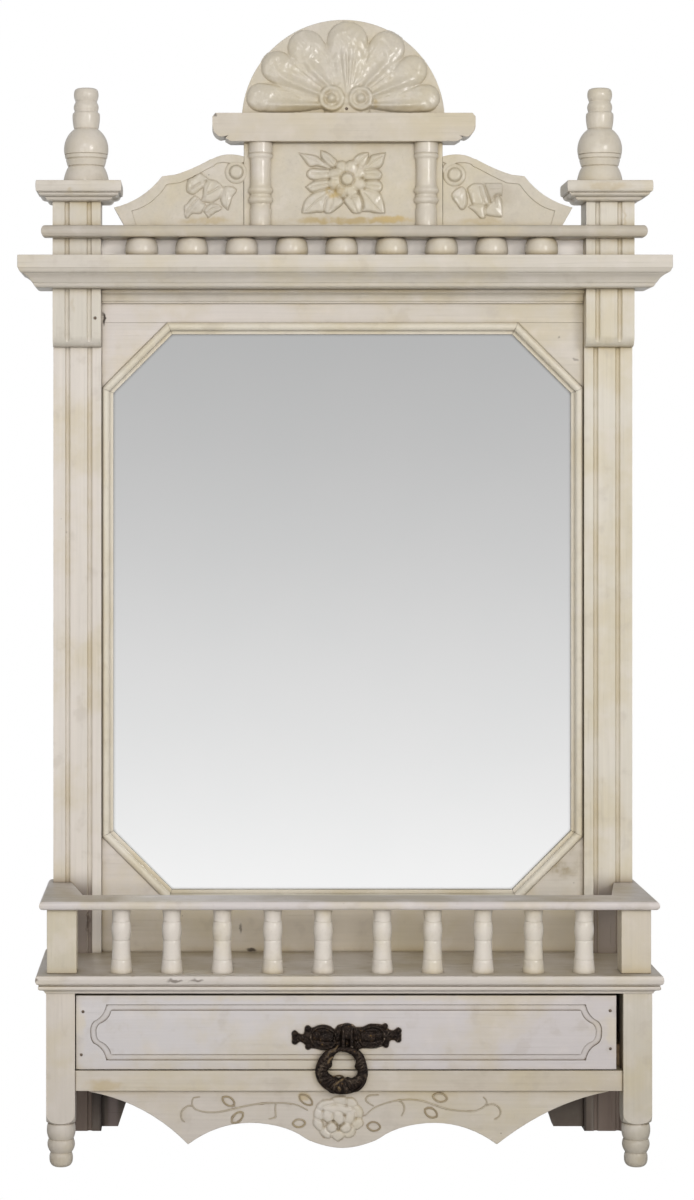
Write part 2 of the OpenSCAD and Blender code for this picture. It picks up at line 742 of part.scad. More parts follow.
// A round button, part of a ball standing on the ground
module button(x, z, r, height) {
    ball = (r * r + height * height) / (2 * height);
    translate([x, 0, z]) intersection() {
        translate([0, ball - height, 0]) sphere(ball);
        rotate([90, 0, 0]) cylinder(h = height + 1, r = r);
    }
}

// Pediment

// Outline of the right wing, drawn in by a width, from the foot of the centre block
function wing_outline(g = 0) =
    let (x0 = crest_w / 2 + g, tip = crest_w / 2 + wing_len - 2.2 * g, low = crest_z + g,
        t = crest_z + wing_tip_h - 0.4 * g, h = crest_z + wing_h - g, mid = crest_w / 2 + wing_len * 0.63,
        m = crest_z + wing_h * 0.695 - g)
    concat([[x0, low], [tip - 11 + g * 0.4, low]],
        bend([tip, t], [mid + wing_len * 0.14 - g, t + wing_h * 0.1 - g * 0.4], [mid - 0.6 * g, m], 8),
        bend([mid - wing_len * 0.1 - 0.6 * g, m + 1.6], [mid - wing_len * 0.23, m + wing_h * 0.09],
            [mid - wing_len * 0.37, m + wing_h * 0.23], 6),
        bend([mid - wing_len * 0.39, m + wing_h * 0.24], [x0 + wing_len * 0.14, h + 2.5],
            [x0, h - 2.5], 6));

// The volute at a wing's inner end: its centre and the radius of its disc
volute = [crest_w / 2 + 8.2, crest_z + wing_h * 0.78];
volute_r = 8;

// Root, tip and width of each leaf, measured from the volute, for the right wing
wing_leaf = [
    [[17.5, -5], [50, -21.5], 14.5], [[14, -15], [33, -31], 16], [[6, -15.5], [8.5, -38], 12.5],
    [[36, -24], [50, -46], 15], [[15, -37], [29, -45], 9.5]
];

module wing(flipped) {
    field = concat([[crest_w / 2 - 1, crest_z + wing_h - wing_border], [crest_w / 2 - 1, crest_z - 1]],
        [for (i = [1:len(wing_outline()) - 1]) wing_outline(wing_border)[i] - [0, i < 2 ? 20 : 0]]);
    color(paint) mirrored(!flipped) difference() {
        sawn(crest_front - crest_t, crest_front) polygon(wing_outline());
        sawn(crest_front - wing_sink, crest_front + 1) difference() {
            polygon(field);
            translate(volute) circle(volute_r);
        }
    }
}

// Leaves that lie on a wing's sunk field, and the button on its volute
module wing_leaves(flipped) {
    k = wing_h / 73;
    color(paint) mirrored(!flipped) {
        translate([0, -crest_front, 0]) button(volute[0], volute[1], 7.5, 5);
        translate([volute[0], wing_sink - crest_front, volute[1]])
            for (g = wing_leaf) leaf(g[0] * k, g[1] * k, g[2] * k, 4);
    }
}

module crest_block() {
    color(paint) board(-crest_w / 2, crest_w / 2, crest_front - crest_t, crest_front,
        crest_z, top_board_z);
}

// Half columns with rings, turned whole and sawn in two
module crest_columns() {
    r = column_w / 2;
    h = crest_h;
    x = crest_w / 2 - column_inset - r;
    profile = concat([[0, 0], [r * 0.84, 0], [r * 0.84, h * 0.21], [r * 0.78, h * 0.225]],
        [[r * 0.78, h * 0.27]],
        bend([r * 0.82, h * 0.275], [r * 1.14, h * 0.315], [r * 0.84, h * 0.36], 6),
        [[r * 0.82, h * 0.385]],
        bend([r * 0.84, h * 0.39], [r * 1.14, h * 0.43], [r * 0.84, h * 0.475], 6),
        bend([r * 0.82, h * 0.49], [r * 0.8, h * 0.65], [r * 0.84, h * 0.8], 4),
        bend([r * 0.86, h * 0.81], [r * 1.1, h * 0.835], [r * 0.9, h * 0.87], 4),
        [[r * 0.96, h * 0.88], [r * 0.96, h], [0, h]]);
    color(paint) for (side = [-1, 1]) intersection() {
        turned(side * x, crest_front, crest_z, profile);
        board(side * x - r, side * x + r, crest_front, crest_front + r, crest_z, crest_z + h);
    }
}

// Root, tip and width of each leaf, measured from the middle of the flower
crest_leaf = [
    [[-12, 12], [-47, 26.5], 14], [[-9, 13], [-25, 30], 11], [[-12, 6], [-41, 5.5], 11.5],
    [[-12, -4], [-41, -8], 11], [[-9, -9], [-45, -33.5], 22], [[-6, -12], [-17, -33.5], 14],
    [[12, 11], [41, 25], 14], [[7, 13], [20.5, 27.5], 12], [[12, 5], [34.5, 4.5], 11],
    [[12, -5], [34, -6], 12], [[9, -9], [38, -34.5], 22], [[2, -14], [10.5, -35], 11]
];

// A flower of rounded petals with a button, and a pair of leaves towards each corner
module crest_flower() {
    k = crest_h / 84;
    petal = function(a) abs(sin(a * 4));
    color(paint) translate([carving_shift, -crest_front, crest_z + crest_h * 0.595]) {
        carved(function(a) (16 + 2.6 * petal(a)) * k,
            function(a, t) 1.5 + 4 * sqrt(1 - 0.9 * t * t) * (0.6 + 0.4 * petal(a)), 0, 360, 64, 4);
        button(0, 0, 6.2 * k, 7.5);
        for (g = crest_leaf) leaf(g[0] * k, g[1] * k, g[2] * k, 4);
    }
}

// Two upright battens that tie centre block, top board and shell together behind
module crest_battens() {
    color(bare_wood) for (x = [-batten_pitch / 2, batten_pitch / 2])
        board(x - batten_w / 2, x + batten_w / 2, 0, crest_front - crest_t,
            crest_z, shell_z + batten_up);
}

module top_board() {
    w = top_board_w / 2;
    h = top_board_h;
    end = concat([[w - h / 9, shell_z], [w, shell_z - h / 8], [w, shell_z - h * 0.45]],
        arc([w - h * 0.41, shell_z - h * 0.45], h * 0.41, 0, -75, 6),
        arc([w - h * 0.62, shell_z - h * 0.98], h * 0.18, 80, 30, 4),
        [[w - h * 0.65, top_board_z], [w - h, top_board_z]]);
    color(paint) sawn(crest_front - crest_t, crest_front + top_board_proj)
        polygon(concat(end, flip(end)));
}

module shell_board() {
    color(paint) intersection() {
        translate([0, 0, shell_z - shell_sink]) sawn(crest_front - crest_t, crest_front)
            circle(shell_r);
        board(-shell_r, shell_r, 0, crest_front, shell_z, shell_z + shell_r);
    }
}

// Radius and height of a scroll: a round-edged disc with a button on it
function scroll_profile() =
    let (r = 11.7, h = shell_relief)
    concat([[0, 0], [r, 0], [r, h * 0.9]], bend([r, h * 0.9], [r * 0.9, h * 1.3], [r * 0.62, h * 1.05], 4),
        bend([r * 0.54, h * 1.05], [r * 0.5, h * 1.45], [0, h * 1.4], 5));

// Scallop shell: rounded lobes that fan out from a root, and two scrolls over it.
// Towards the sides the lobes grow narrower, as they do on the real carving.
module shell_carving() {
    root = shell_r * 0.098;
    up = root + shell_sink;
    rim_r = shell_r - 2.5;
    place = function(a) let (v = abs(a - 90)) (v / 47.4 + pow(v / 75.4, 2)) * shell_lobes / 7;
    off = function(a) 2 * (place(a) - round(place(a)));
    reach = function(a) let (b = carving_shift * cos(a) + up * sin(a))
        sqrt(b * b - pow(carving_shift, 2) - up * up + rim_r * rim_r) - b;
    color(paint) translate([carving_shift, -crest_front, shell_z + root]) {
        carved(function(a) reach(a) - shell_r * 0.17 * (1 - sqrt(1 - 0.95 * pow(off(a), 2))),
            function(a, t) 0.6 + (shell_relief - 0.6) * sqrt(1 - 0.99 * pow(off(a), 2))
                * (0.3 + 0.7 * sin(180 * pow(t, 1.7))),
            -4, 184, 9 * shell_lobes, 8);
        for (x = [-15, 13.8]) translate([x, 0, 8.8]) rotate([90, 0, 0])
            rotate_extrude() polygon(scroll_profile());
    }
}

// Case and feet

// Radius and height of the turned foot: drop, two rings and a rounded shoulder
function foot_profile() =
    let (r = leg_w / 2, h = foot_h)
    concat([[0, 0], [r * 0.45, 0]],
        bend([r * 0.5, h * 0.003], [r * 0.84, h * 0.03], [r * 0.82, h * 0.14], 6),
        bend([r * 0.82, h * 0.16], [r * 0.8, h * 0.2], [r * 0.74, h * 0.22], 3),
        bend([r * 0.77, h * 0.23], [r * 1.08, h * 0.33], [r * 0.89, h * 0.42], 6),
        [[r * 0.85, h * 0.43]],
        bend([r * 0.88, h * 0.44], [r * 1.1, h * 0.55], [r * 0.94, h * 0.67], 6),
        [[r * 0.9, h * 0.68]],
        bend([r * 0.92, h * 0.69], [r * 1.3, h * 0.7], [r * 1.42, h * 0.84], 6),
        [[r * 1.42, h], [0, h]]);

module leg(flipped) {
    x = half_w - leg_w / 2;
    color(paint) mirrored(!flipped) {
        board(opening_x, half_w, leg_back, case_d, foot_h, leg_len);
        intersection() {
            turned(x, case_d - leg_w / 2, 0, foot_profile());
            board(opening_x, half_w, leg_back, case_d, 0, foot_h);
        }
    }
}

module side_panel(flipped) {
    color(paint) mirrored(!flipped)
        board(side_x, side_x + side_t, pilaster_t, leg_back, front_rail_z, leg_len);
}

// A runner under the drawer's side, fixed inside a side panel
module runner(flipped) {
    color(bare_wood) mirrored(!flipped)
        board(opening_x - runner_reach, side_x, pilaster_t, leg_back, runner_z - runner_h, runner_z);
}

// A strip on a runner that keeps the drawer straight
module guide(flipped) {
    x = (flipped ? drawer_high : -drawer_low) + drawer_gap_left;
    color(bare_wood) mirrored(!flipped)
        board(x, side_x, pilaster_t, leg_back, runner_z, runner_z + guide_h);
}

module front_rail() {
    color(paint) board(-opening_x, opening_x, leg_back, case_d - front_rail_set,
        front_rail_z, front_rail_z + front_rail_h);
}

// Outline of the apron's right half about its own middle
function apron_outline(end) =
    let (top = front_rail_z, h = apron_h)
    concat([[end, top]],
        bend([end, top - 2], [end - 56, top - h * 0.22], [148, top - h * 0.94], 10),
        bend([148, top - h * 0.94], [121, top - h * 0.58], [89, top - h * 0.57], 8),
        bend([80, top - h * 0.575], [52, top - h * 0.62], [36, top - h * 0.83], 6),
        bend([32, top - h * 0.87], [14, top - h], [0, top - h], 6));

module apron() {
    end = opening_x - apron_gap;
    right = apron_outline(end - apron_shift);
    left = apron_outline(end + apron_shift);
    color(paint) sawn(case_d - apron_set - apron_t, case_d - apron_set)
        translate([apron_shift, 0])
        polygon(concat(right, [for (i = [len(left) - 2:-1:0]) [-left[i][0], left[i][1]]]));
}

// Peony of three rows of petals, carved in low relief
module apron_rosette() {
    petal = function(a, n) abs(sin(a * n / 2));
    row = function(a, t) t < 0.35 ? petal(a, 5) : t < 0.7 ? petal(a + 20, 8) : petal(a, 13);
    color(paint) translate([apron_shift - 3, apron_set - case_d, front_rail_z - apron_h * 0.49])
        carved(function(a) 22.5 + 2 * petal(a, 13),
            function(a, t) 0.6 + 1.9 * (1 - t * t) + 1.3 * row(a, t), 0, 360, 78, 8);
}

// Shelf and gallery

function shelf_edge() =
    let (p = shelf_over, h = shelf_t, top = shelf_z)
    concat(oval([p - 2, top - h * 0.24], 2, h * 0.24, 90, -90, 6),
        [[p - 3, top - h * 0.5], [p - 3, top - h * 0.53]],
        oval([p - 4.5, top - h * 0.67], 2, h * 0.13, 80, -90, 5),
        bend([p - 6, top - h * 0.82], [p - 8.5, top - h * 0.84], [p - 9, leg_len], 4));

module shelf() {
    color(paint) difference() {
        moulded_slab(shelf_edge(), half_w, case_d);
        board(-inner_x, inner_x, -1, board_t, leg_len - 1, shelf_z + 1);
        for (flipped = [false, true]) mirrored(flipped)
            board(-half_w, -inner_x, -1, pilaster_t, leg_len - 1, shelf_z + 1);
        for (x = baluster_places)
            translate([x, -baluster_depth, shelf_z - peg_len - 0.5])
                cylinder(h = peg_len + 2, r = peg_d / 2 + peg_fit);
    }
}

module post(flipped) {
    color(paint) mirrored(!flipped)
        board(post_x, post_x + post_w, post_d - post_w, post_d, shelf_z, gallery_z);
}

baluster_places = [for (side = [-1, 1]) for (k = [0:baluster_side - 1])
    baluster_shift + side * (baluster_gap / 2 + k * baluster_pitch)];

// Radius and height of a baluster: flared foot, waist, belly and neck, scored between
function baluster_profile() =
    let (r = baluster_d / 2, h = post_h)
    concat([[0, -peg_len], [peg_d / 2, -peg_len], [peg_d / 2, 0], [r, 0], [r, h * 0.05]],
        bend([r * 0.99, h * 0.06], [r * 0.92, h * 0.14], [r * 0.9, h * 0.19], 3),
        [[r * 0.87, h * 0.2], [r * 0.89, h * 0.21]],
        bend([r * 0.88, h * 0.23], [r * 0.8, h * 0.4], [r * 0.81, h * 0.49], 5),
        [[r * 0.78, h * 0.5], [r * 0.82, h * 0.51]],
        bend([r * 0.83, h * 0.54], [r * 0.99, h * 0.66], [r * 0.82, h * 0.78], 7),
        [[r * 0.78, h * 0.79], [r * 0.81, h * 0.8]],
        bend([r * 0.79, h * 0.82], [r * 0.79, h * 0.88], [r * 0.85, h * 0.94], 4),
        [[r * 0.85, h], [peg_d / 2, h], [peg_d / 2, h + peg_len], [0, h + peg_len]]);

module balusters() {
    color(paint) for (x = baluster_places)
        turned(x, baluster_depth, shelf_z, baluster_profile());
}

module gallery_slab() {
    edge = oval([gallery_over - 4, gallery_z + gallery_t / 2], 4, gallery_t / 2, 90, -90, 10);
    difference() {
        moulded_slab(edge, half_w, gallery_front - gallery_over);
        for (flipped = [false, true]) mirrored(flipped)
            board(-half_w, -inner_x, -1, pilaster_t, gallery_z - 1, gallery_z + gallery_t + 1);
        for (x = baluster_places)
            translate([x, -baluster_depth, gallery_z - 2])
                cylinder(h = peg_len + 2.5, r = peg_d / 2 + peg_fit);
    }
}

// Plan of the left side rail: straight outside, widening towards the front
module side_rail_plan() {
    outer = half_w + gallery_over;
    back = gallery_front - gallery_w;
    polygon([[-outer - 1, 0], [-outer - 1, -back], [return_w - outer, -back],
        [return_end_w - outer, 0]]);
}

module gallery_front_rail() {
    wide = 2 * (half_w + gallery_over);
    color(paint) intersection() {
        gallery_slab();
        board(-wide, wide, gallery_front - gallery_w, gallery_front + 1,
            gallery_z - 1, gallery_z + gallery_t + 1);
    }
}

module gallery_side_rail(flipped) {
    color(paint) mirrored(flipped) intersection() {
        gallery_slab();
        translate([0, 0, gallery_z - 1]) linear_extrude(gallery_t + 2) side_rail_plan();
    }
}

// Drawer

// Outline of the drawer front's field, drawn in by a width: each corner is cut by a
// hollow curve, and the end between them is slightly bowed
function field_outline(g) =
    let (x = drawer_high - field_end - g, mid = (drawer_low + drawer_high) / 2,
        h = drawer_h / 2 - field_edge - g, z = drawer_z + drawer_h / 2, w = 14 - g * 0.2, b = h * 0.4,
        end = concat(
            bend([x - w, z - h], [x - w * 0.84, z - h * 0.56], [x - 2, z - b], 6),
            bend([x - 1.2, z - b * 0.93], [x + 1.6, z - b * 0.6], [x + 1.4, z], 4),
            bend([x + 1.6, z + b * 0.1], [x + 1.6, z + b * 0.6], [x - 1.2, z + b * 0.93], 4),
            bend([x - 2, z + b], [x - w * 0.84, z + h * 0.56], [x - w, z + h], 6)))
    concat(end, [for (p = flip([for (q = end) q - [mid, 0]])) p + [mid, 0]]);

screw_places = [-37, 37];

module drawer_front() {
    color(paint_pale) difference() {
        board(drawer_low, drawer_high, drawer_face - drawer_front_t, drawer_face,
            drawer_z, drawer_z + drawer_h);
        sawn(drawer_face - field_depth, drawer_face + 1) difference() {
            polygon(field_outline(0));
            polygon(field_outline(field_rout));
        }
        board(drawer_low + drawer_side_t - groove_d, drawer_high - drawer_side_t + groove_d,
            drawer_face - drawer_front_t - 1, drawer_face - drawer_front_t + groove_d,
            base_z, base_z + drawer_base_t + 0.2);
        for (x = screw_places) translate([pull_shift + x, -drawer_face - 1, plate_z])
            rotate([-90, 0, 0]) cylinder(h = 11, r = screw_d / 2 + 0.1, $fn = 24);
    }
}

module drawer_side(flipped) {
    x = flipped ? drawer_high - drawer_side_t : drawer_low;
    inside = flipped ? x : x + drawer_side_t;
    front = drawer_face - drawer_front_t;
    color(bare_wood) difference() {
        board(x, x + drawer_side_t, drawer_rear, front, drawer_z, drawer_z + drawer_side_h);
        board(inside - groove_d, inside + groove_d, drawer_rear - 1, front + 1,
            base_z, base_z + drawer_base_t + 0.2);
    }
}

module drawer_back() {
    color(bare_wood) board(drawer_low + drawer_side_t, drawer_high - drawer_side_t,
        drawer_rear, drawer_rear + drawer_side_t,
        base_z + drawer_base_t, drawer_z + drawer_side_h);
}

module drawer_base() {
    reach = drawer_side_t - groove_d + 0.5;
    color(bare_wood) board(drawer_low + reach, drawer_high - reach,
        drawer_rear, drawer_face - drawer_front_t + groove_d - 0.5, base_z, base_z + drawer_base_t);
}

// Drawer pull

// Right half of the cast plate: lobe, nubs, neck and end knob
module plate_half() {
    k = plate_reach / 50;
    translate([28 * k, 0]) circle(10.7 * k);
    translate([22.7 * k, 0]) circle(11.7 * k);
    translate([31.8 * k, -8.7 * k]) square([6, 17.4] * k);
    translate([36 * k, -3.4 * k]) square([8, 6.8] * k);
    translate([40 * k, -2.4 * k]) square([10, 4.8] * k);
    translate([50 * k, 0]) circle(3.2 * k);
    for (side = [-1, 1]) {
        translate([37.3 * k, side * 9.5 * k]) circle(2.5 * k);
        translate([49.6 * k, side * 4.4 * k]) circle(2.5 * k);
        translate([14.6 * k, side * 9.1 * k]) circle(2.6 * k);
    }
}

module pull_plate() {
    translate([pull_shift, 0, plate_z]) color(bronze) difference() {
        union() {
            sawn(drawer_face, plate_face) {
                circle(plate_disc_r);
                plate_half();
                mirror([1, 0]) plate_half();
            }
            translate([0, -plate_face, 0]) for (side = [-1, 1]) {
                button(side * (plate_reach - 25), 0, 8.6, 1.8);
                button(side * plate_reach, 0, 2.8, 1.2);
            }
            board(-knuckle_w / 2, knuckle_w / 2, drawer_face, pivot_d, -11, 10);
            translate([0, -pivot_d, -pivot_drop]) rotate([0, 90, 0])
                translate([0, 0, -knuckle_w / 2]) cylinder(h = knuckle_w, r = pull_bar_d / 2 + 2);
            translate([0, -pivot_d, 0]) intersection() {
                translate([0, 0, -11]) cylinder(h = 21, r = knuckle_w / 2);
                board(-knuckle_w / 2, knuckle_w / 2, 0, 4.2, -11, 10);
            }
        }
        translate([-knuckle_w, -pivot_d, -pivot_drop]) rotate([0, 90, 0])
            cylinder(h = 2 * knuckle_w, r = pull_bar_d / 2 + pull_fit);
        for (x = screw_places) translate([x, -plate_face - 1, 0])
            rotate([-90, 0, 0]) cylinder(h = plate_t + 2, r = screw_d / 2 + 0.1, $fn = 24);
    }
}

module pull_screws() {
    color(bronze) for (x = screw_places) translate([pull_shift + x, 0, plate_z]) {
        translate([0, -plate_face, 0]) rotate([-90, 0, 0])
            cylinder(h = plate_t + 9, d = screw_d, $fn = 24);
        translate([0, -plate_face, 0]) button(0, 0, screw_d, 1.4);
    }
}

// A closed tube of oval section along a path in the front view.
// Each station is its place across, its height and half the tube's width there.
module cast_loop(stations, half_t) {
    n = len(stations);
    sides = 12;
    points = [for (i = [0:n - 1])
        let (a = stations[max(i - 1, 0)], b = stations[min(i + 1, n - 1)], s = stations[i],
            d = [b[0] - a[0], b[1] - a[1]], u = [d[1], -d[0]] / norm(d))
        for (k = [0:sides - 1])
            let (w = s[2] * cos(360 * k / sides), t = min(half_t, s[2]) * sin(360 * k / sides))
            [s[0] + u[0] * w, t, s[1] + u[1] * w]];
    polyhedron(points, concat(
        [[for (k = [0:sides - 1]) k], [for (k = [sides - 1:-1:0]) (n - 1) * sides + k]],
        [for (i = [0:n - 2]) for (k = [0:sides - 1])
            let (p = i * sides + k, q = i * sides + (k + 1) % sides)
            each [[q, p, p + sides], [q, p + sides, q + sides]]]));
}

// The ring: a bar through the knuckle and a pear shaped loop, thickest at its foot
module pull_ring() {
    arm = knuckle_w / 2 + 6.6;
    side = ring_w / 2 - 5.8;
    foot = 7.8;
    right = [[arm, 0, 1.9], [arm + 1.2, -5.5, 3], [arm + 2.8, -11, 4.6], [side - 3.2, -19, 5.4],
        [side, -ring_drop + 20.5, 5.8], [side - 5.2, -ring_drop + 12, 7], [0, foot - ring_drop, foot]];
    left = [for (i = [len(right) - 2:-1:0]) [-right[i][0], right[i][1], right[i][2]]];
    color(bronze) translate([pull_shift + ring_slide, -pivot_d, pivot_z]) {
        cast_loop(spline(concat(right, left)), ring_t / 2);
        translate([-arm - 1.5, 0, 0]) rotate([0, 90, 0])
            cylinder(h = 2 * arm + 3, d = pull_bar_d);
    }
}

hung() pilaster(false);  // pilaster_left
hung() pilaster(true);  // pilaster_right
hung() frieze_board();
hung() lower_board();
hung() corner_boards();
hung() glass_beads();
hung() mirror_glass();
hung() backing_board();
hung() backing_sprigs();
hung() upper_block(false);  // upper_block_left
hung() upper_block(true);  // upper_block_right
hung() bed_moulding();
hung() cornice_front();
hung() cornice_return(false);  // cornice_return_left
hung() cornice_return(true);  // cornice_return_right
hung() attic_beads();
hung() attic_rail();
hung() cap(false);  // cap_left
hung() cap(true);  // cap_right
hung() finial(false);  // finial_left
hung() finial(true);  // finial_right
hung() crest_block();
hung() crest_columns();
hung() crest_flower();
hung() crest_battens();
hung() wing(false);  // wing_left
hung() wing(true);  // wing_right
hung() wing_leaves(false);  // wing_leaves_left
hung() wing_leaves(true);  // wing_leaves_right
hung() top_board();
hung() shell_board();
hung() shell_carving();
hung() leg(false);  // leg_left
hung() leg(true);  // leg_right
hung() side_panel(false);  // side_panel_left
hung() side_panel(true);  // side_panel_right
hung() runner(false);  // runner_left
hung() runner(true);  // runner_right
hung() guide(false);  // guide_left
hung() guide(true);  // guide_right
hung() front_rail();
hung() apron();
hung() apron_rosette();
hung() shelf();
hung() post(false);  // post_left
hung() post(true);  // post_right
hung() balusters();
hung() gallery_front_rail();
hung() gallery_side_rail(false);  // gallery_side_rail_left
hung() gallery_side_rail(true);  // gallery_side_rail_right
hung() drawer_front();
hung() drawer_side(false);  // drawer_side_left
hung() drawer_side(true);  // drawer_side_right
hung() drawer_back();
hung() drawer_base();
hung() pull_plate();
hung() pull_screws();
hung() pull_ring();
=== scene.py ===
import math

import bmesh
import bpy
import numpy as np
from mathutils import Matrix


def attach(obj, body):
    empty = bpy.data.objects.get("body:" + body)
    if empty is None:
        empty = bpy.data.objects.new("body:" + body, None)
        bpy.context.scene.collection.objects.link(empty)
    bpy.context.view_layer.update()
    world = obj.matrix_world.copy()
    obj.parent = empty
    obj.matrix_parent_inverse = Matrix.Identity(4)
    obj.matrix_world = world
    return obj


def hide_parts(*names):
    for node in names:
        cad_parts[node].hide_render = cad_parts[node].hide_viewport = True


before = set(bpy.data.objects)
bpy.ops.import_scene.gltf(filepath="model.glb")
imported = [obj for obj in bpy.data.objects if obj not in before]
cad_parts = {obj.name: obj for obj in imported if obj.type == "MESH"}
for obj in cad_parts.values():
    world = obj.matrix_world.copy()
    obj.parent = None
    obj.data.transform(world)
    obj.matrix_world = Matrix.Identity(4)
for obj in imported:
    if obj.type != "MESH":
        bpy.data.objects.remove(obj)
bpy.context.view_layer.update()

# The object hangs on a wall, the plane y = 0. Points here are millimetres: x to the right,
# d out of the wall and z above the feet. The frame's own zero is HANG_Z above the feet.
HANG_Z = 860.0
MM = 0.001

# The photograph's eye: its pixel, its place, and the depth at which a pixel is a millimetre
EYE_PX = 208.0
EYE_PY = 495.0
EYE_X = -134.8
EYE_Z = 644.0
EYE_DISTANCE = 2900.0
TRUE_DEPTH = 26.0

# Faces that carry carving and castings, and the pin that the ring hangs on
CREST_FACE = 36.0
WING_GROUND = 34.8
APRON_FACE = 146.5
PLATE_BACK = 151.0
PIVOT_D = 158.5
SHELL_CENTRE_Z = 1016.4
SHELL_FOOT_Z = 1023.2
SHELL_RADIUS = 100.8


def seen(px, py, d):
    """Where a pixel of the photograph falls on the plane at depth d, as (x, z)"""
    scale = 1 + (d - TRUE_DEPTH) / EYE_DISTANCE
    return ((px - EYE_PX) / scale + EYE_X, EYE_Z + (EYE_PY - py) / scale)


def enlarged(px, py, times, d):
    """For a detail of the photograph, enlarged so many times from a corner at a pixel: a function
    that places its points on the plane at depth d"""
    def place(*points):
        return [seen(px + cx / times, py + cy / times, d) for cx, cy in points]
    return place


def level(z):
    """Height in the frame, in metres, of a height above the feet"""
    return (z - HANG_Z) * MM


def metres(x, d, z):
    return (x * MM, -d * MM, level(z))


def srgb(red, green, blue):
    """A colour from its screen values, 0 to 255"""
    def linear(value):
        value = value / 255
        return value / 12.92 if value <= 0.04045 else ((value + 0.055) / 1.055) ** 2.4
    return (linear(red), linear(green), linear(blue), 1.0)


# Shader nodes

def add(tree, kind, inputs=None, **settings):
    """Adds a node. Its inputs are values, or the outputs of other nodes."""
    made = tree.nodes.new(kind)
    for key, value in settings.items():
        setattr(made, key, value)
    for key, value in (inputs or {}).items():
        if isinstance(value, bpy.types.NodeSocket):
            tree.links.new(value, made.inputs[key])
        else:
            made.inputs[key].default_value = value
    return made


class Shading:
    """The nodes of one shader. Each method adds some and gives what comes out of them."""

    def __init__(self, tree):
        self.tree = tree

    def node(self, kind, inputs=None, **settings):
        return add(self.tree, kind, inputs, **settings).outputs

    def ramp(self, value, low, high, to_low=0.0, to_high=1.0):
        """Carries a value from one span to another with soft ends"""
        spans = {"Value": value, "From Min": low, "From Max": high, "To Min": to_low, "To Max": to_high}
        return self.node("ShaderNodeMapRange", spans, interpolation_type="SMOOTHSTEP")["Result"]

    def mix(self, share, first, second):
        return self.node("ShaderNodeMix", {0: share, 6: first, 7: second}, data_type="RGBA")[2]

    def tint(self, tone, colour, value, low, high, strength=1.0):
        """Passes to a colour, up to a strength, while a value goes from low to high"""
        return self.mix(self.ramp(value, low, high, 0.0, strength), tone, colour)

    def maths(self, operation, first, second=0.0, third=0.0):
        return self.node("ShaderNodeMath", {0: first, 1: second, 2: third}, operation=operation)[0]

    def product(self, first, *others):
        for other in others:
            first = self.maths("MULTIPLY", first, other)
        return first

    def vector(self, operation, first, second, third=(0, 0, 0)):
        return self.node("ShaderNodeVectorMath", {0: first, 1: second, 2: third}, operation=operation)

    def scale(self, colour, factor):
        return self.node("ShaderNodeVectorMath", {0: colour, "Scale": factor}, operation="SCALE")[0]

    def noise(self, place, scale, detail=3.0, roughness=0.5, distortion=0.0):
        return self.node("ShaderNodeTexNoise",
                         {"Vector": place, "Scale": scale, "Detail": detail, "Roughness": roughness,
                          "Distortion": distortion})

    def split(self, vector):
        return self.node("ShaderNodeSeparateXYZ", {0: vector})

    def openness(self, reach, inside=False):
        """How open a place is within a reach, outside the surface or inside it"""
        return self.node("ShaderNodeAmbientOcclusion", {"Distance": reach},
                         samples=6, inside=inside)["AO"]

    def place(self):
        return self.node("ShaderNodeTexCoord")["Object"]

    def bump(self, relief, strength, distance):
        return self.node("ShaderNodeBump",
                         {"Height": relief, "Strength": strength, "Distance": distance})[0]

    def straight(self):
        """The kinds of ray, and 1 for those that come straight from the camera"""
        path = self.node("ShaderNodeLightPath")
        return path, self.maths("MAXIMUM", path["Is Camera Ray"], path["Is Transmission Ray"])

    def give(self, shader, **inputs):
        """Sets a shader's inputs, whose names are written with underscores"""
        for key, value in inputs.items():
            socket = shader.inputs[key.replace("_", " ")]
            if isinstance(value, bpy.types.NodeSocket):
                self.tree.links.new(value, socket)
            else:
                socket.default_value = value


def new_material(name):
    material = bpy.data.materials.new(name)
    material.use_nodes = True
    tree = material.node_tree
    return material, Shading(tree), tree.nodes["Principled BSDF"]


# Camera, light and floor

LENS = 87.0
SENSOR = 36.0
SHIFT = (0.1158, -0.0875)
WHITE = (1, 1, 1, 1)
SOFT_LIGHT = (1.0, 0.985, 0.965, 1)
AMBIENT = 0.3
FLOOR_TONE = (0.45, 0.45, 0.445, 1)
MIDDLE = (0, 0, -0.3)
FLOOR_DROP = 0.9
FLOOR_HALF = 5.0

# Lamps, as (name, place, target, size, power, colour, whether gloss shows them)
LAMPS = (("key", (1.4, -2.9, 0.4), MIDDLE, (0.7, 0.8), 22, (1.0, 0.985, 0.97), True),
         ("fill", (-1.25, -2.9, -0.1), MIDDLE, (1.1, 1.2), 7, (1.0, 0.985, 0.98), True),
         ("crest", (-0.4, -2.9, 1.0), (0, 0, 0.15), (0.45, 0.4), 5.2, (1.0, 0.985, 0.985), True),
         ("front", (0.0, -3.3, 0.0), MIDDLE, (1.3, 1.3), 47, (1.0, 0.985, 0.975), False),
         ("behind", (0.3, 3.0, 0.6), MIDDLE, (1.4, 1.4), 16, (1.0, 0.99, 0.98), False),
         ("behind_left", (-2.4, 1.7, 0.5), MIDDLE, (1.4, 1.4), 9, (1.0, 0.99, 0.98), False),
         ("behind_right", (2.4, 1.7, 0.5), MIDDLE, (1.4, 1.4), 9, (1.0, 0.99, 0.98), False))

# Light that the glass shows: steepness of the ray that reaches it, and its brightness
ROOM_LIGHT = ((-1.0, 0.62), (-0.1328, 0.888), (-0.1224, 0.863), (-0.0879, 0.768), (-0.0534, 0.688),
              (-0.019, 0.604), (0.0155, 0.533), (0.0541, 0.474), (0.35, 0.55), (1.0, 0.85))


def place_object(name, data):
    made = bpy.data.objects.new(name, data)
    bpy.context.scene.collection.objects.link(made)
    return made


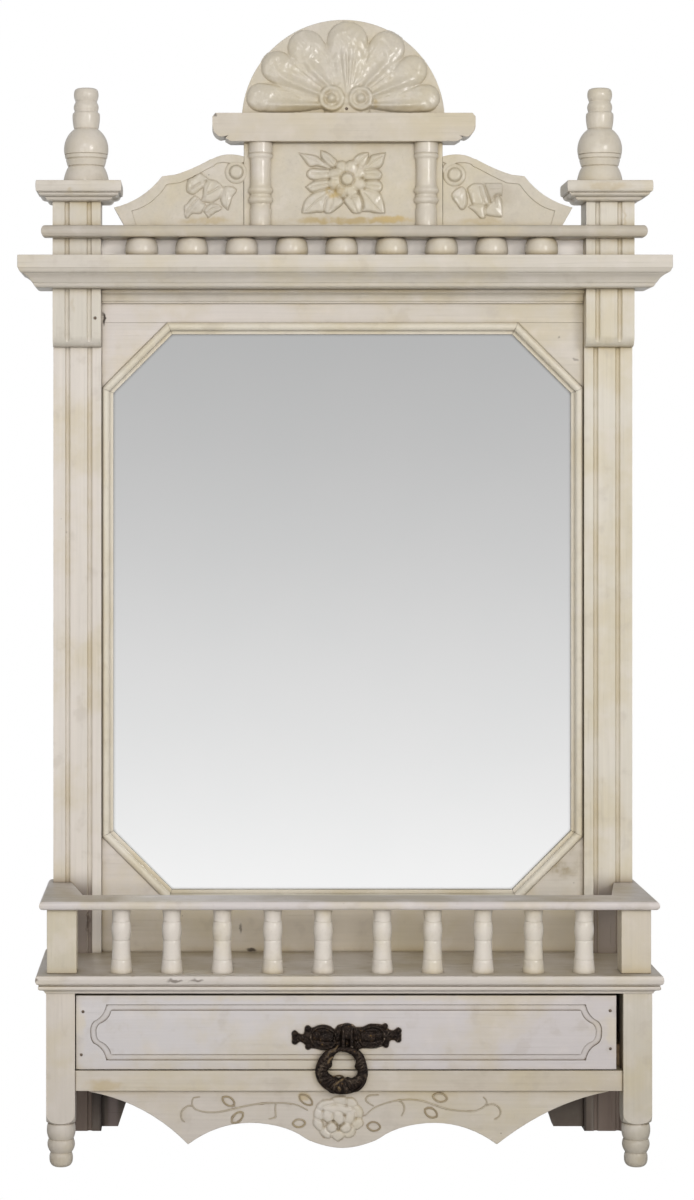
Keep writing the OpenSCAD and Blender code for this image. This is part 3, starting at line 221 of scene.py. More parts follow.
def add_camera():
    data = bpy.data.cameras.new("camera")
    data.lens = LENS
    data.sensor_width = SENSOR
    data.shift_x, data.shift_y = SHIFT
    camera = place_object("camera", data)
    camera.location = metres(EYE_X, EYE_DISTANCE + TRUE_DEPTH, EYE_Z)
    camera.rotation_euler = (math.radians(90), 0, 0)
    bpy.context.scene.camera = camera


def add_lamp(name, place, target, size, power, colour, in_gloss):
    data = bpy.data.lights.new(name, "AREA")
    data.shape = "RECTANGLE"
    data.size, data.size_y = size
    data.energy = power
    data.color = colour
    lamp = place_object(name, data)
    lamp.location = place
    x, y, z = (t - p for t, p in zip(target, place))
    steepness = math.atan2(z, math.hypot(x, y))
    lamp.rotation_euler = (math.pi / 2 + steepness, 0, math.atan2(y, x) - math.pi / 2)
    lamp.visible_glossy = in_gloss


def set_world():
    """White behind the object, soft light all round, and a graded room in the glass"""
    world = bpy.data.worlds.new("studio")
    world.use_nodes = True
    bpy.context.scene.world = world
    tree = world.node_tree
    tree.nodes.clear()
    nodes = Shading(tree)
    path, straight = nodes.straight()
    steep = nodes.split(nodes.node("ShaderNodeTexCoord")["Generated"])["Z"]
    share = nodes.maths("MULTIPLY_ADD", steep, 0.5, 0.5)
    ramp = add(tree, "ShaderNodeValToRGB", {0: share})
    stops = ramp.color_ramp.elements
    while len(stops) > 1:
        stops.remove(stops[-1])
    for number, (slope, light) in enumerate(ROOM_LIGHT):
        stop = stops[0] if number == 0 else stops.new((slope + 1) / 2)
        stop.position = (slope + 1) / 2
        stop.color = (light, light, light, 1)
    lights = ((SOFT_LIGHT, AMBIENT), (ramp.outputs[0], 1.0), (WHITE, 1.0))
    soft, room, white = (nodes.node("ShaderNodeBackground", {"Color": colour, "Strength": strength})[0]
                         for colour, strength in lights)
    glossy = nodes.node("ShaderNodeMixShader", {0: path["Is Glossy Ray"], 1: soft, 2: room})[0]
    shown = nodes.node("ShaderNodeMixShader", {0: straight, 1: glossy, 2: white})[0]
    add(tree, "ShaderNodeOutputWorld", {0: shown})


def add_floor():
    z = -HANG_Z * MM - FLOOR_DROP
    mesh = bpy.data.meshes.new("floor")
    corners = [(-FLOOR_HALF, -FLOOR_HALF, z), (FLOOR_HALF, -FLOOR_HALF, z),
               (FLOOR_HALF, FLOOR_HALF, z), (-FLOOR_HALF, FLOOR_HALF, z)]
    mesh.from_pydata(corners, [], [(0, 1, 2, 3)])
    floor = place_object("floor", mesh)
    material, nodes = new_material("pale_floor")[:2]
    nodes.tree.nodes.clear()
    straight = nodes.straight()[1]
    pale = nodes.node("ShaderNodeBsdfDiffuse", {"Color": FLOOR_TONE})[0]
    white = nodes.node("ShaderNodeEmission", {"Color": WHITE, "Strength": 1.0})[0]
    shown = nodes.node("ShaderNodeMixShader", {0: straight, 1: pale, 2: white})[0]
    nodes.node("ShaderNodeOutputMaterial", {0: shown})
    mesh.materials.append(material)


# Paint, wood, glass and metal

OCHRE = srgb(176, 156, 112)
STAIN = srgb(188, 164, 110)
LIMED = srgb(204, 194, 172)
# DIRT_AND_SHADE darkens creases, hollows and corners as painted shade, and colours dirt specks and dark
# stains
DIRT_AND_SHADE = srgb(84, 72, 60)
DUST = srgb(152, 138, 110)
CHIP = srgb(58, 46, 36)
BARE_EDGE = srgb(120, 100, 76)
YELLOWED = srgb(201, 188, 154)
CHALKY = srgb(222, 214, 208)
GREYED = srgb(172, 161, 146)
RECESS_LIGHT_TONE = srgb(246, 240, 233)
GRAIN_STRETCH = {"x": (0.025, 1, 1), "y": (1, 0.025, 1), "z": (1, 1, 0.025), "none": (1, 1, 1)}

# Reaches of hollows, for patina and painted shade, of creases, for painted shade, and of rubbed edges
HOLLOW_REACH = 0.011
CREASE_REACH = 0.0028
EDGE_REACH = 0.0022

# Ragged rims of the stains: how far noise moves them, and the middle of that
RAGGED = (0.012, 0, 0.008)
RAGGED_MIDDLE = (0.006, 0.004)

# The foot below the shelf, darkened with painted shadow and some grime: its top, the height over
# which it sets in, the top of its grey part, how near the wall it lies, and its tones
FOOT_DIM_TOP = 120
FOOT_FADE = 20
FOOT_LOW = 62
WALL_ZONE = (-0.075, -0.045)
FOOT_DARK = srgb(40, 31, 25)
FOOT_DARK_RIGHT = srgb(66, 56, 49)
FOOT_OUTER_RIGHT = srgb(124, 113, 102)
FOOT_GREY = srgb(92, 81, 73)
# Its darker and lighter stripes of painted shade, as (px, half width, colour)
FOOT_STRIPES = ((83, 2.5, srgb(36, 27, 22)), (102, 3.5, srgb(36, 27, 22)),
                (113, 7, srgb(116, 104, 101)), (584, 3, srgb(52, 42, 37)),
                (597, 8, srgb(128, 120, 113)), (609, 2.5, srgb(60, 50, 44)))
# Painted shade on the uprights beside the gallery: how far out it starts, its heights and its tone
GALLERY_SHADE_X = 0.251
GALLERY_SHADE_Z = (272, 242)
GALLERY_SHADE = srgb(112, 98, 89)


def stained(nodes, tone, place, seen_side, cloud, stains):
    """Stains, as (px, py, depth, half width, half height, strength, colour)"""
    warp = nodes.noise(place, 130)["Color"]
    ragged = nodes.vector("MULTIPLY_ADD", warp, RAGGED, place)[0]
    for px, py, depth, half_width, half_height, strength, colour in stains:
        x, z = seen(px, py, depth)
        spread = (1 / (half_width * MM), 0, 1 / (half_height * MM))
        centre = ((x * MM + RAGGED_MIDDLE[0]) * spread[0], 0, (level(z) + RAGGED_MIDDLE[1]) * spread[2])
        flat = nodes.vector("MULTIPLY", ragged, spread)[0]
        off = nodes.vector("DISTANCE", flat, centre)["Value"]
        spot = nodes.product(nodes.ramp(off, 1.0, 0.35, 0, strength), seen_side)
        tone = nodes.mix(nodes.product(spot, nodes.ramp(cloud, 0.3, 0.55)), tone, colour)
    return tone


def foot_grime_and_painted_shadow(nodes, tone, parts, facing, seen_side, mottle):
    """Painted shadow and some grime on the foot near the wall, and painted shade beside the gallery"""
    across = parts["X"]
    near_wall = nodes.ramp(parts["Y"], *WALL_ZONE)
    low = nodes.ramp(parts["Z"], level(FOOT_DIM_TOP + FOOT_FADE), level(FOOT_DIM_TOP))
    shade = nodes.product(low, near_wall, seen_side)
    deep = nodes.tint(FOOT_DARK, FOOT_DARK_RIGHT, across, -0.2, 0.2)
    deep = nodes.tint(deep, FOOT_OUTER_RIGHT, across, 0.238, 0.242)
    dusk = nodes.tint(FOOT_GREY, deep, parts["Z"], level(0), level(FOOT_LOW))
    for px, half_width, colour in FOOT_STRIPES:
        x = seen(px, 1100, 24)[0] * MM
        off = nodes.maths("ABSOLUTE", nodes.maths("SUBTRACT", across, x))
        dusk = nodes.tint(dusk, colour, off, half_width * MM, 0.3 * half_width * MM, 0.85)
    tone = nodes.mix(nodes.product(shade, nodes.ramp(mottle, 0.2, 0.6, 0.85, 1)), tone, dusk)
    # Painted shade on the uprights beside the gallery, on faces towards the front
    beside = nodes.ramp(nodes.maths("ABSOLUTE", across),
                        GALLERY_SHADE_X - MM / 2, GALLERY_SHADE_X + MM / 2)
    beside = nodes.product(beside, nodes.ramp(parts["Z"], *map(level, GALLERY_SHADE_Z)),
                           nodes.ramp(facing["Y"], -0.3, -0.7, 0, 0.85), near_wall)
    return nodes.mix(beside, tone, GALLERY_SHADE)


def paint(name, grain, left, right, patina=1.0, wear=0.0, seed=0.0, streaks=1.0, stains=(),
          painted_foot_shadow_and_grime=False, gloss=0.0, crease_shade=0.62, recess_light_above=None):
    """Old satin paint, brushed along the grain, whose tone passes from left to right. Patina gathers in
    hollows, creases and hollows are darkened as painted shade with some dirt, dust lies on tops, and
    edges are rubbed. Above a given height the paint is lightened as painted light."""
    material, nodes, shader = new_material(name)
    place = nodes.place()
    parts = nodes.split(place)
    facing = nodes.split(nodes.node("ShaderNodeNewGeometry")["Normal"])
    seen_side = nodes.ramp(facing["Y"], 0.6, 0.2)
    shifted = nodes.node("ShaderNodeMapping",
                         {"Vector": place, "Location": (seed, seed * 1.7, seed * 0.6)})[0]
    brushed = nodes.node("ShaderNodeMapping", {"Vector": shifted, "Scale": GRAIN_STRETCH[grain]})[0]
    mottle = nodes.noise(shifted, 13, 5, 0.6)[0]
    cloud = nodes.noise(shifted, 45, 4, 0.55)[0]
    streak = nodes.noise(brushed, 420, 4, 0.6)[0]
    wide_streak = nodes.noise(brushed, 110, 2)[0]
    hollow = nodes.openness(HOLLOW_REACH)
    crease = nodes.openness(CREASE_REACH)
    patchy = nodes.ramp(mottle, 0.3, 0.65, 0.25, 1.0)

    tone = nodes.tint(left, right, parts["X"], -0.26, 0.26)
    tone = nodes.tint(tone, YELLOWED, mottle, 0.42, 0.7, 0.5)
    tone = nodes.tint(tone, CHALKY, cloud, 0.5, 0.75, 0.3)
    tone = nodes.tint(tone, GREYED, cloud, 0.44, 0.3, 0.22)
    tone = nodes.scale(tone, nodes.ramp(streak, 0.3, 0.7, 1 - 0.055 * streaks, 1 + 0.03 * streaks))
    tone = nodes.scale(tone, nodes.ramp(wide_streak, 0.3, 0.7, 1 - 0.04 * streaks, 1.015))
    # Darker towards the bottom, over the lowest 0.26 m above the feet
    tone = nodes.scale(tone, nodes.ramp(parts["Z"], level(0), -0.6, 0.85, 1.0))

    yellow = nodes.product(nodes.ramp(hollow, 0.93, 0.5, 0, 0.6 * patina), patchy)
    tone = nodes.mix(yellow, tone, OCHRE)
    # Creases darkened: painted shade, with some dirt
    tone = nodes.tint(tone, DIRT_AND_SHADE, crease, 0.88, 0.45, crease_shade)
    # Paint lightened above a height: painted light in the shadowed recess behind the attic beads
    if recess_light_above is not None:
        recess_light = nodes.ramp(parts["Z"], recess_light_above, recess_light_above + 4 * MM)
        tone = nodes.mix(nodes.product(recess_light, seen_side), tone, RECESS_LIGHT_TONE)
    # Deep hollows darkened: painted shade, with some dirt
    tone = nodes.tint(tone, DIRT_AND_SHADE, hollow, 0.5, 0.2, 1.3 * crease_shade)
    tone = nodes.mix(nodes.product(nodes.ramp(facing["Z"], 0.8, 0.98, 0, 0.7), patchy), tone, DUST)
    tone = stained(nodes, tone, place, seen_side, cloud, stains)
    # Painted shadow, with some grime, low down near the wall, and painted shade beside the gallery
    if painted_foot_shadow_and_grime:
        tone = foot_grime_and_painted_shadow(nodes, tone, parts, facing, seen_side, mottle)

    speck = nodes.node("ShaderNodeTexVoronoi", {"Vector": shifted, "Scale": 75})["Distance"]
    rare = nodes.ramp(nodes.noise(shifted, 30, 1)[0], 0.66, 0.7)
    tone = nodes.mix(nodes.product(nodes.ramp(speck, 0.07, 0.035), rare, 0.6), tone, DIRT_AND_SHADE)
    if wear:
        edge = nodes.ramp(nodes.openness(EDGE_REACH, inside=True), 0.72, 0.4)
        broken = nodes.ramp(nodes.noise(shifted, 95, 5, 0.7)[0], 0.56, 0.66)
        tone = nodes.mix(nodes.product(edge, broken, wear), tone, BARE_EDGE)

    rough = nodes.maths("ADD", nodes.ramp(streak, 0.3, 0.7, 0.27, 0.4), nodes.product(yellow, 0.25))
    relief = nodes.maths("ADD", nodes.product(streak, 0.7 * streaks),
                         nodes.product(nodes.noise(shifted, 900, 2)[0], 0.16))
    relief = nodes.maths("ADD", relief, nodes.product(cloud, 0.9))
    nodes.give(shader, Base_Color=tone, Roughness=rough, Normal=nodes.bump(relief, 0.35, 0.0006),
               IOR=1.48, Coat_Weight=gloss, Coat_Roughness=0.17)
    return material


def bare_wood(name, grain, light, deep, seed=0.0):
    """Unpainted softwood with grain along one axis"""
    material, nodes, shader = new_material(name)
    shifted = nodes.node("ShaderNodeMapping", {"Vector": nodes.place(), "Location": (seed, seed, seed),
                                               "Scale": GRAIN_STRETCH[grain]})[0]
    rings = nodes.noise(shifted, 90, 5, 0.55, 1.2)[0]
    fibre = nodes.noise(shifted, 900, 3, 0.6)[0]
    tone = nodes.tint(light, deep, rings, 0.38, 0.62)
    tone = nodes.scale(tone, nodes.ramp(fibre, 0.3, 0.7, 0.86, 1.05))
    # Darker in corners and recesses: painted shade with some grime
    tone = nodes.tint(tone, DIRT_AND_SHADE, nodes.openness(0.02), 0.8, 0.3, 0.6)
    nodes.give(shader, Base_Color=tone, Roughness=0.7, Normal=nodes.bump(fibre, 0.4, 0.0004))
    return material


def mirror_material():
    """Silvered glass, greyed at its rim by a little age and by painted shade beside the beading"""
    material, nodes, shader = new_material("mirror_silver")
    cloud = nodes.noise(nodes.place(), 6, 4, 0.6)[0]
    tone = nodes.tint(WHITE, (0.985, 0.99, 0.99, 1), cloud, 0.3, 0.7)
    # Greyer where the beading meets the glass: painted shade, with a little age
    tone = nodes.tint(tone, srgb(150, 147, 140), nodes.openness(0.004), 0.85, 0.5, 0.55)
    rough = nodes.ramp(cloud, 0.3, 0.7, 0.015, 0.03)
    nodes.give(shader, Base_Color=tone, Metallic=1.0, Roughness=rough)
    return material


def cast_metal(name, body, worn, gilt):
    """Dark cast metal, rubbed on its high places and with some old gilding left"""
    material, nodes, shader = new_material(name)
    place = nodes.place()
    cloud = nodes.noise(place, 230, 5, 0.7)[0]
    grit = nodes.noise(place, 620, 4, 0.65)[0]
    high = nodes.ramp(nodes.openness(0.0016, inside=True), 0.75, 0.35, 0, 0.8)
    tone = nodes.tint(body, srgb(52, 40, 32), cloud, 0.35, 0.7)
    tone = nodes.mix(nodes.product(high, nodes.ramp(cloud, 0.4, 0.6, 0.3, 1)), tone, worn)
    tone = nodes.tint(tone, worn, grit, 0.6, 0.7, 0.55)
    tone = nodes.tint(tone, gilt, cloud, 0.62, 0.7, 0.6)
    rough = nodes.ramp(cloud, 0.3, 0.7, 0.26, 0.46)
    nodes.give(shader, Base_Color=tone, Metallic=0.75, Roughness=rough,
               Normal=nodes.bump(grit, 0.8, 0.0008))
    return material


# Softened edges on the joinery

SHARP = math.radians(32)
DOUBLED = 2e-6
FLAT = math.radians(0.5)


def softening():
    """Node group that joins a mesh's doubled points and smooths all but its sharp edges"""
    tree = bpy.data.node_groups.new("softening", "GeometryNodeTree")
    for side in ("INPUT", "OUTPUT"):
        tree.interface.new_socket("Geometry", in_out=side, socket_type="NodeSocketGeometry")
    start = add(tree, "NodeGroupInput")
    plain = add(tree, "GeometryNodeRemoveAttribute",
                {"Geometry": start.outputs[0], "Name": "custom_normal"})
    joined = add(tree, "GeometryNodeMergeByDistance",
                 {"Geometry": plain.outputs[0], "Distance": DOUBLED})
    smooth = add(tree, "GeometryNodeSetShadeSmooth",
                 {"Geometry": joined.outputs[0], "Shade Smooth": True}, domain="FACE")
    bent = add(tree, "GeometryNodeInputMeshEdgeAngle")
    sharp = add(tree, "FunctionNodeCompare", {0: bent.outputs[0], 1: SHARP}, operation="GREATER_THAN")
    crisp = add(tree, "GeometryNodeSetShadeSmooth",
                {"Geometry": smooth.outputs[0], "Selection": sharp.outputs[0], "Shade Smooth": False},
                domain="EDGE")
    add(tree, "NodeGroupOutput", {0: crisp.outputs[0]})
    return tree


SOFTENING = softening()


def dress(names, material, bevel=0.0):
    """Gives nodes of the frame their finish and, where asked, softened edges"""
    for name in names:
        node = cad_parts[name]
        node.data.materials.clear()
        node.data.materials.append(material)
        node.modifiers.new("softening", "NODES").node_group = SOFTENING
        if bevel:
            flat = node.modifiers.new("flats", "DECIMATE")
            flat.decimate_type = "DISSOLVE"
            flat.angle_limit = FLAT
            round_edge = node.modifiers.new("rounded_edges", "BEVEL")
            round_edge.width = bevel * MM
            round_edge.segments = 2
            round_edge.limit_method = "ANGLE"
            round_edge.angle_limit = SHARP
            round_edge.harden_normals = True


# Lines and closed meshes

def curve_point(p0, p1, p2, p3, t):
    """The point at share t of the way from p1 to p2 on a smooth line"""
    return tuple(0.5 * (2 * b + (c - a) * t + (2 * a - 5 * b + 4 * c - d) * t * t
                        + (3 * b - a - 3 * c + d) * t ** 3)
                 for a, b, c, d in zip(p0, p1, p2, p3))


def curve_through(points, steps=6):
    """Points of a smooth line through the given ones"""
    ends = [points[0], *points, points[-1]]
    line = [curve_point(*four, step / steps)
            for four in zip(ends, ends[1:], ends[2:], ends[3:]) for step in range(steps)]
    return [*line, tuple(points[-1])]


def closed_curve(points, steps):
    """Points of a smooth line that returns to its start"""
    turned = [points[k:] + points[:k] for k in (-1, 0, 1, 2)]
    return [curve_point(*four, step / steps) for four in zip(*turned) for step in range(steps)]


def tube_faces(first, rings, sides, closed=False):
    """Faces that join rings of points, each to the next, with capped ends or closed in a round"""
    faces = []
    for ring in range(rings if closed else rings - 1):
        low = first + ring * sides
        high = first + (ring + 1) % rings * sides
        faces += [(low + side, low + (side + 1) % sides, high + (side + 1) % sides, high + side)
                  for side in range(sides)]
    if not closed:
        last = first + (rings - 1) * sides
        faces += [tuple(range(first, first + sides)), tuple(range(last, last + sides))]
    return faces


def turns(sides):
    """Equal steps round a circle, each as (cosine, sine)"""
    steps = [2 * math.pi * side / sides for side in range(sides)]
    return [(math.cos(turn), math.sin(turn)) for turn in steps]


def close_form(form, mesh):
    """Turns a form's faces outward and keeps it in a smooth mesh"""
    bmesh.ops.recalc_face_normals(form, faces=form.faces)
    form.to_mesh(mesh)
    form.free()
    mesh.shade_smooth()


def closed_mesh(name, points, faces):
    mesh = bpy.data.meshes.new(name)
    mesh.from_pydata(points, [], faces)
    form = bmesh.new()
    form.from_mesh(mesh)
    close_form(form, mesh)
    return mesh


def place_piece(name, mesh, material, body):
    piece = place_object(name, mesh)
    mesh.materials.append(material)
    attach(piece, body)
    return piece


# Carved reliefs

SUNK = 0.8
BACK = 1.2


class Relief:
    """A carving, worked out as heights above its ground on a square grid, in millimetres"""

    def __init__(self, low, high, pitch):
        xs = np.arange(low[0], high[0] + pitch, pitch)
        zs = np.arange(low[1], high[1] + pitch, pitch)
        self.x, self.z = np.meshgrid(xs, zs)
        self.height = np.full(self.x.shape, -SUNK)

    def along(self, line):
        """Share of the way along a line, and signed distance beside it, at each grid point"""
        nearest = np.full(self.x.shape, 1e9)
        share = np.zeros(self.x.shape)
        side = np.zeros(self.x.shape)
        lengths = [math.dist(a, b) for a, b in zip(line, line[1:])]
        total = sum(lengths)
        run = 0.0
        for (ax, az), (bx, bz), length in zip(line, line[1:], lengths):
            if length < 1e-6:
                continue
            ux, uz = (bx - ax) / length, (bz - az) / length
            t = np.clip((self.x - ax) * ux + (self.z - az) * uz, 0, length)
            dx = self.x - ax - t * ux
            dz = self.z - az - t * uz
            off = np.hypot(dx, dz)
            nearer = off < nearest
            nearest = np.where(nearer, off, nearest)
            share = np.where(nearer, (run + t) / total, share)
            side = np.where(nearer, off * np.sign(ux * dz - uz * dx + 1e-9), side)
            run += length
        return share, side

    def beside(self, line):
        """Signed distance beside a line, which is smooth where it has more than two points"""
        return self.along(curve_through(line) if len(line) > 2 else line)[1]

    def lay(self, rise, beyond, groove=0.0):
        """Lays a form over what is there, with a line cut round it, beyond its edge"""
        cut = groove * np.exp(-(beyond / 0.85) ** 2) * (self.height > 0.2) * (beyond > -0.3)
        self.height = np.maximum(self.height - cut, np.maximum(rise, -SUNK))

    def stroke(self, points, widths, height, edge=2.4, veins=(), groove=0.5, ends=(0.6, 0.6),
               smooth=True, fade_from=0.57):
        """A rounded form along a line, with the given half widths. Each vein is a place across
        it, a width and a depth."""
        line = curve_through(points) if smooth and len(points) > 2 else points
        share, side = self.along(line)
        width = np.maximum(np.interp(share, np.linspace(0, 1, len(widths)), widths), 0.05)
        across = side / width
        full = 1 - np.abs(across) ** edge
        envelope = height * np.interp(share, (0, 0.5, 1), (ends[0], 1, ends[1]))
        rise = envelope * np.sign(full) * np.sqrt(np.abs(np.clip(full, -4, 1)))
        fade = np.clip(1 - (share - fade_from) / 0.3, 0, 1)
        for place, broad, depth in veins:
            rise -= depth * envelope * np.exp(-((across - place) / broad) ** 2) * fade
        self.lay(rise, (np.abs(across) - 1) * width, groove)

    def rim(self, points, steps, half_width, height, groove=0.0, edge=2.0):
        """A rounded form along a closed line"""
        line = closed_curve(points, steps)
        self.stroke(line + line[:1], (half_width, half_width), height, edge, groove=groove,
                    ends=(1, 1), smooth=False)

    def inside(self, outline):
        """Which grid points lie inside a closed outline"""
        inside = np.zeros(self.x.shape, bool)
        for (ax, az), (bx, bz) in zip(outline, outline[1:] + outline[:1]):
            if az == bz:
                continue
            between_ends = (az > self.z) != (bz > self.z)
            inside ^= between_ends & (self.x < ax + (self.z - az) / (bz - az) * (bx - ax))
        return inside

    def patch(self, outline, height, rounding=2.6, groove=0.8, crown=0.5, veins=(), grow=0.0):
        """A form with its own outline, rounded at the edge and crowned towards its middle.
        Veins are lines cut into it. It can grow beyond its outline on all sides."""
        line = closed_curve(outline, 4)
        side = self.along(line + line[:1])[1]
        off = np.abs(side) * np.where(self.inside(line), 1, -1) + grow
        near = np.clip(1 - off / rounding, 0, 1)
        rise = height * np.sqrt(1 - near ** 2) + crown * np.clip(off / (3 * rounding), 0, 1)
        rise = np.where(off < 0, off * 1.6, rise)
        for vein in veins:
            rise -= 0.3 * height * np.exp(-(self.beside(vein) / 0.7) ** 2) * (off > 0)
        self.lay(rise, -off, groove)

    def cut(self, line, width, depth):
        """A line cut into what is there, or raised on it where its depth is negative"""
        self.height -= depth * np.exp(-(self.beside(line) / width) ** 2) * (self.height > 0)

    def dome(self, centre, radius, height, edge=2.0, groove=0.5):
        off = np.hypot(self.x - centre[0], self.z - centre[1]) / radius
        full = 1 - off ** edge
        rise = height * np.sign(full) * np.sqrt(np.abs(np.clip(full, -4, 1)))
        self.lay(rise, (off - 1) * radius, groove)

    def uneven(self, amount):
        """The unevenness of work by hand"""
        x, z = self.x, self.z
        wave = np.sin(x * 0.41 + 1.3 * np.sin(z * 0.23)) * np.sin(z * 0.37 + 1.2 * np.sin(x * 0.29))
        ripple = np.sin(x * 1.15 + 2 * np.sin(z * 0.61)) * np.sin(z * 0.97)
        self.height += np.where(self.height > 0.3, amount * (wave + 0.18 * ripple), 0)

    def soften(self, times=1):
        """Rounds creases as coats of paint do"""
        for _ in range(times):
            padded = np.pad(self.height, 1, mode="edge")
            rows = (padded[:-2] + 2 * padded[1:-1] + padded[2:]) / 4
            self.height = (rows[:, :-2] + 2 * rows[:, 1:-1] + rows[:, 2:]) / 4

    def kept(self, limit):
        """Which squares of the grid are in the solid, none of them touching at a corner alone"""
        h = self.height
        top = np.maximum(np.maximum(h[:-1, :-1], h[:-1, 1:]), np.maximum(h[1:, :-1], h[1:, 1:]))
        keep = top > limit
        for _ in range(3):
            a, b, c, d = keep[:-1, :-1], keep[:-1, 1:], keep[1:, :-1], keep[1:, 1:]
            touch = (a & d & ~b & ~c) | (b & c & ~a & ~d)
            for part in (a, b, c, d):
                part |= touch
        return keep

    def build(self, name, ground, material, body="frame", limit=-0.45):
        """Closes the relief into a solid whose back lies inside the board that carries it"""
        rows, columns = np.nonzero(self.kept(limit))
        width = self.height.shape[1]
        corner = rows * width + columns
        quads = np.stack([corner, corner + 1, corner + width + 1, corner + width], axis=1)
        used, faces = np.unique(quads, return_inverse=True)
        grid = (self.x.ravel()[used], self.z.ravel()[used], self.height.ravel()[used])
        points = [metres(x, ground + rise, z) for x, z, rise in zip(*grid)]
        mesh = bpy.data.meshes.new(name)
        mesh.from_pydata(points, [], faces.reshape(quads.shape).tolist())
        form = bmesh.new()
        form.from_mesh(mesh)
        rim = [e.link_loops[0] for e in form.edges if e.is_boundary]
        low = {}
        for vertex in [v for v in form.verts if v.is_boundary]:
            low[vertex] = form.verts.new((vertex.co.x, -(ground - BACK) * MM, vertex.co.z))
        low_edges = []
        for loop in rim:
            a, b = loop.link_loop_next.vert, loop.vert
            wall = form.faces.new((a, b, low[b], low[a]))
            low_edges.append(wall.edges[2])
        bmesh.ops.triangle_fill(form, edges=low_edges, use_beauty=False)
        close_form(form, mesh)
        return place_piece(name, mesh, material, body)


def away(start, way, reach):
    """The point at a distance from another, along a direction"""
    return (start[0] + reach * way[0], start[1] + reach * way[1])


def carve_shell(material):
    """Seven rounded lobes that fan out from a root, and two scrolls with buttons over it"""
    relief = Relief(low=(-99, 1022.5), high=(99, 1118.5), pitch=0.7)
    root = (4.0, 1032.9)
    lobes = ((-85.2, 101.0, 14.4), (85.2, 92.5, 13.8), (-61.8, 95.3, 16.2), (62.3, 88, 15.4),
             (-36.2, 88.0, 18.4), (35.2, 86.0, 17.8), (0.0, 83.0, 20.6))
    middle_veins = ((0.0, 0.06, 0.3), (-0.34, 0.07, 0.22), (0.36, 0.07, 0.22), (0.18, 0.12, -0.12),
                    (-0.18, 0.12, -0.12))
    for turn, reach, head in lobes:
        way = (math.sin(math.radians(turn)), math.cos(math.radians(turn)))
        line = [away(root, way, 7), away(root, way, reach - head)]
        sunny = -math.copysign(1, turn)
        veins = middle_veins
        if turn:
            veins = ((-0.1 * sunny, 0.32, 0.48), (0.44 * sunny, 0.18, -0.3),
                     (-0.64 * sunny, 0.07, 0.16), (-0.42 * sunny, 0.08, 0.12))
        relief.stroke(line, (2.2, head * 0.46, head * 0.78, head * 0.97, head), height=5.2, edge=2.3,
                      veins=veins, groove=1.0, ends=(0.85, 0.92), fade_from=0.7)
    relief.stroke([(4, 1040), (4, 1020)], (20, 24), height=4.0, edge=4.0, groove=0.0, ends=(1, 1))
    relief.stroke([(-10, 1041), (3, 1037), (16, 1041)], (7, 5.5, 7), height=5.0, edge=3.0,
                  groove=0.6, ends=(1, 1))
    for x, radius in ((-11.8, 13.0), (17.2, 12.4)):
        centre = (x, 1038.8)
        off = np.hypot(relief.x - centre[0], relief.z - centre[1])
        ring = 5.0 + 1.2 * np.sqrt(np.clip(1 - ((off - radius + 3.0) / 3.2) ** 2, 0, 1))
        ring = ring - 1.9 * np.exp(-((off - 6.8) / 1.3) ** 2)
        relief.lay(np.where(off < radius, ring, -SUNK), off - radius, 1.3)
        relief.dome(centre, radius=5.4, height=8.4, edge=3.0, groove=0.0)
    beyond = np.hypot(relief.x, relief.z - SHELL_CENTRE_Z) > SHELL_RADIUS
    relief.height = np.where(beyond | (relief.z < SHELL_FOOT_Z), -SUNK, relief.height)
    relief.uneven(0.36)
    relief.soften(2)
    piece = relief.build("carved_shell", CREST_FACE, material)
    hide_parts("shell_carving")


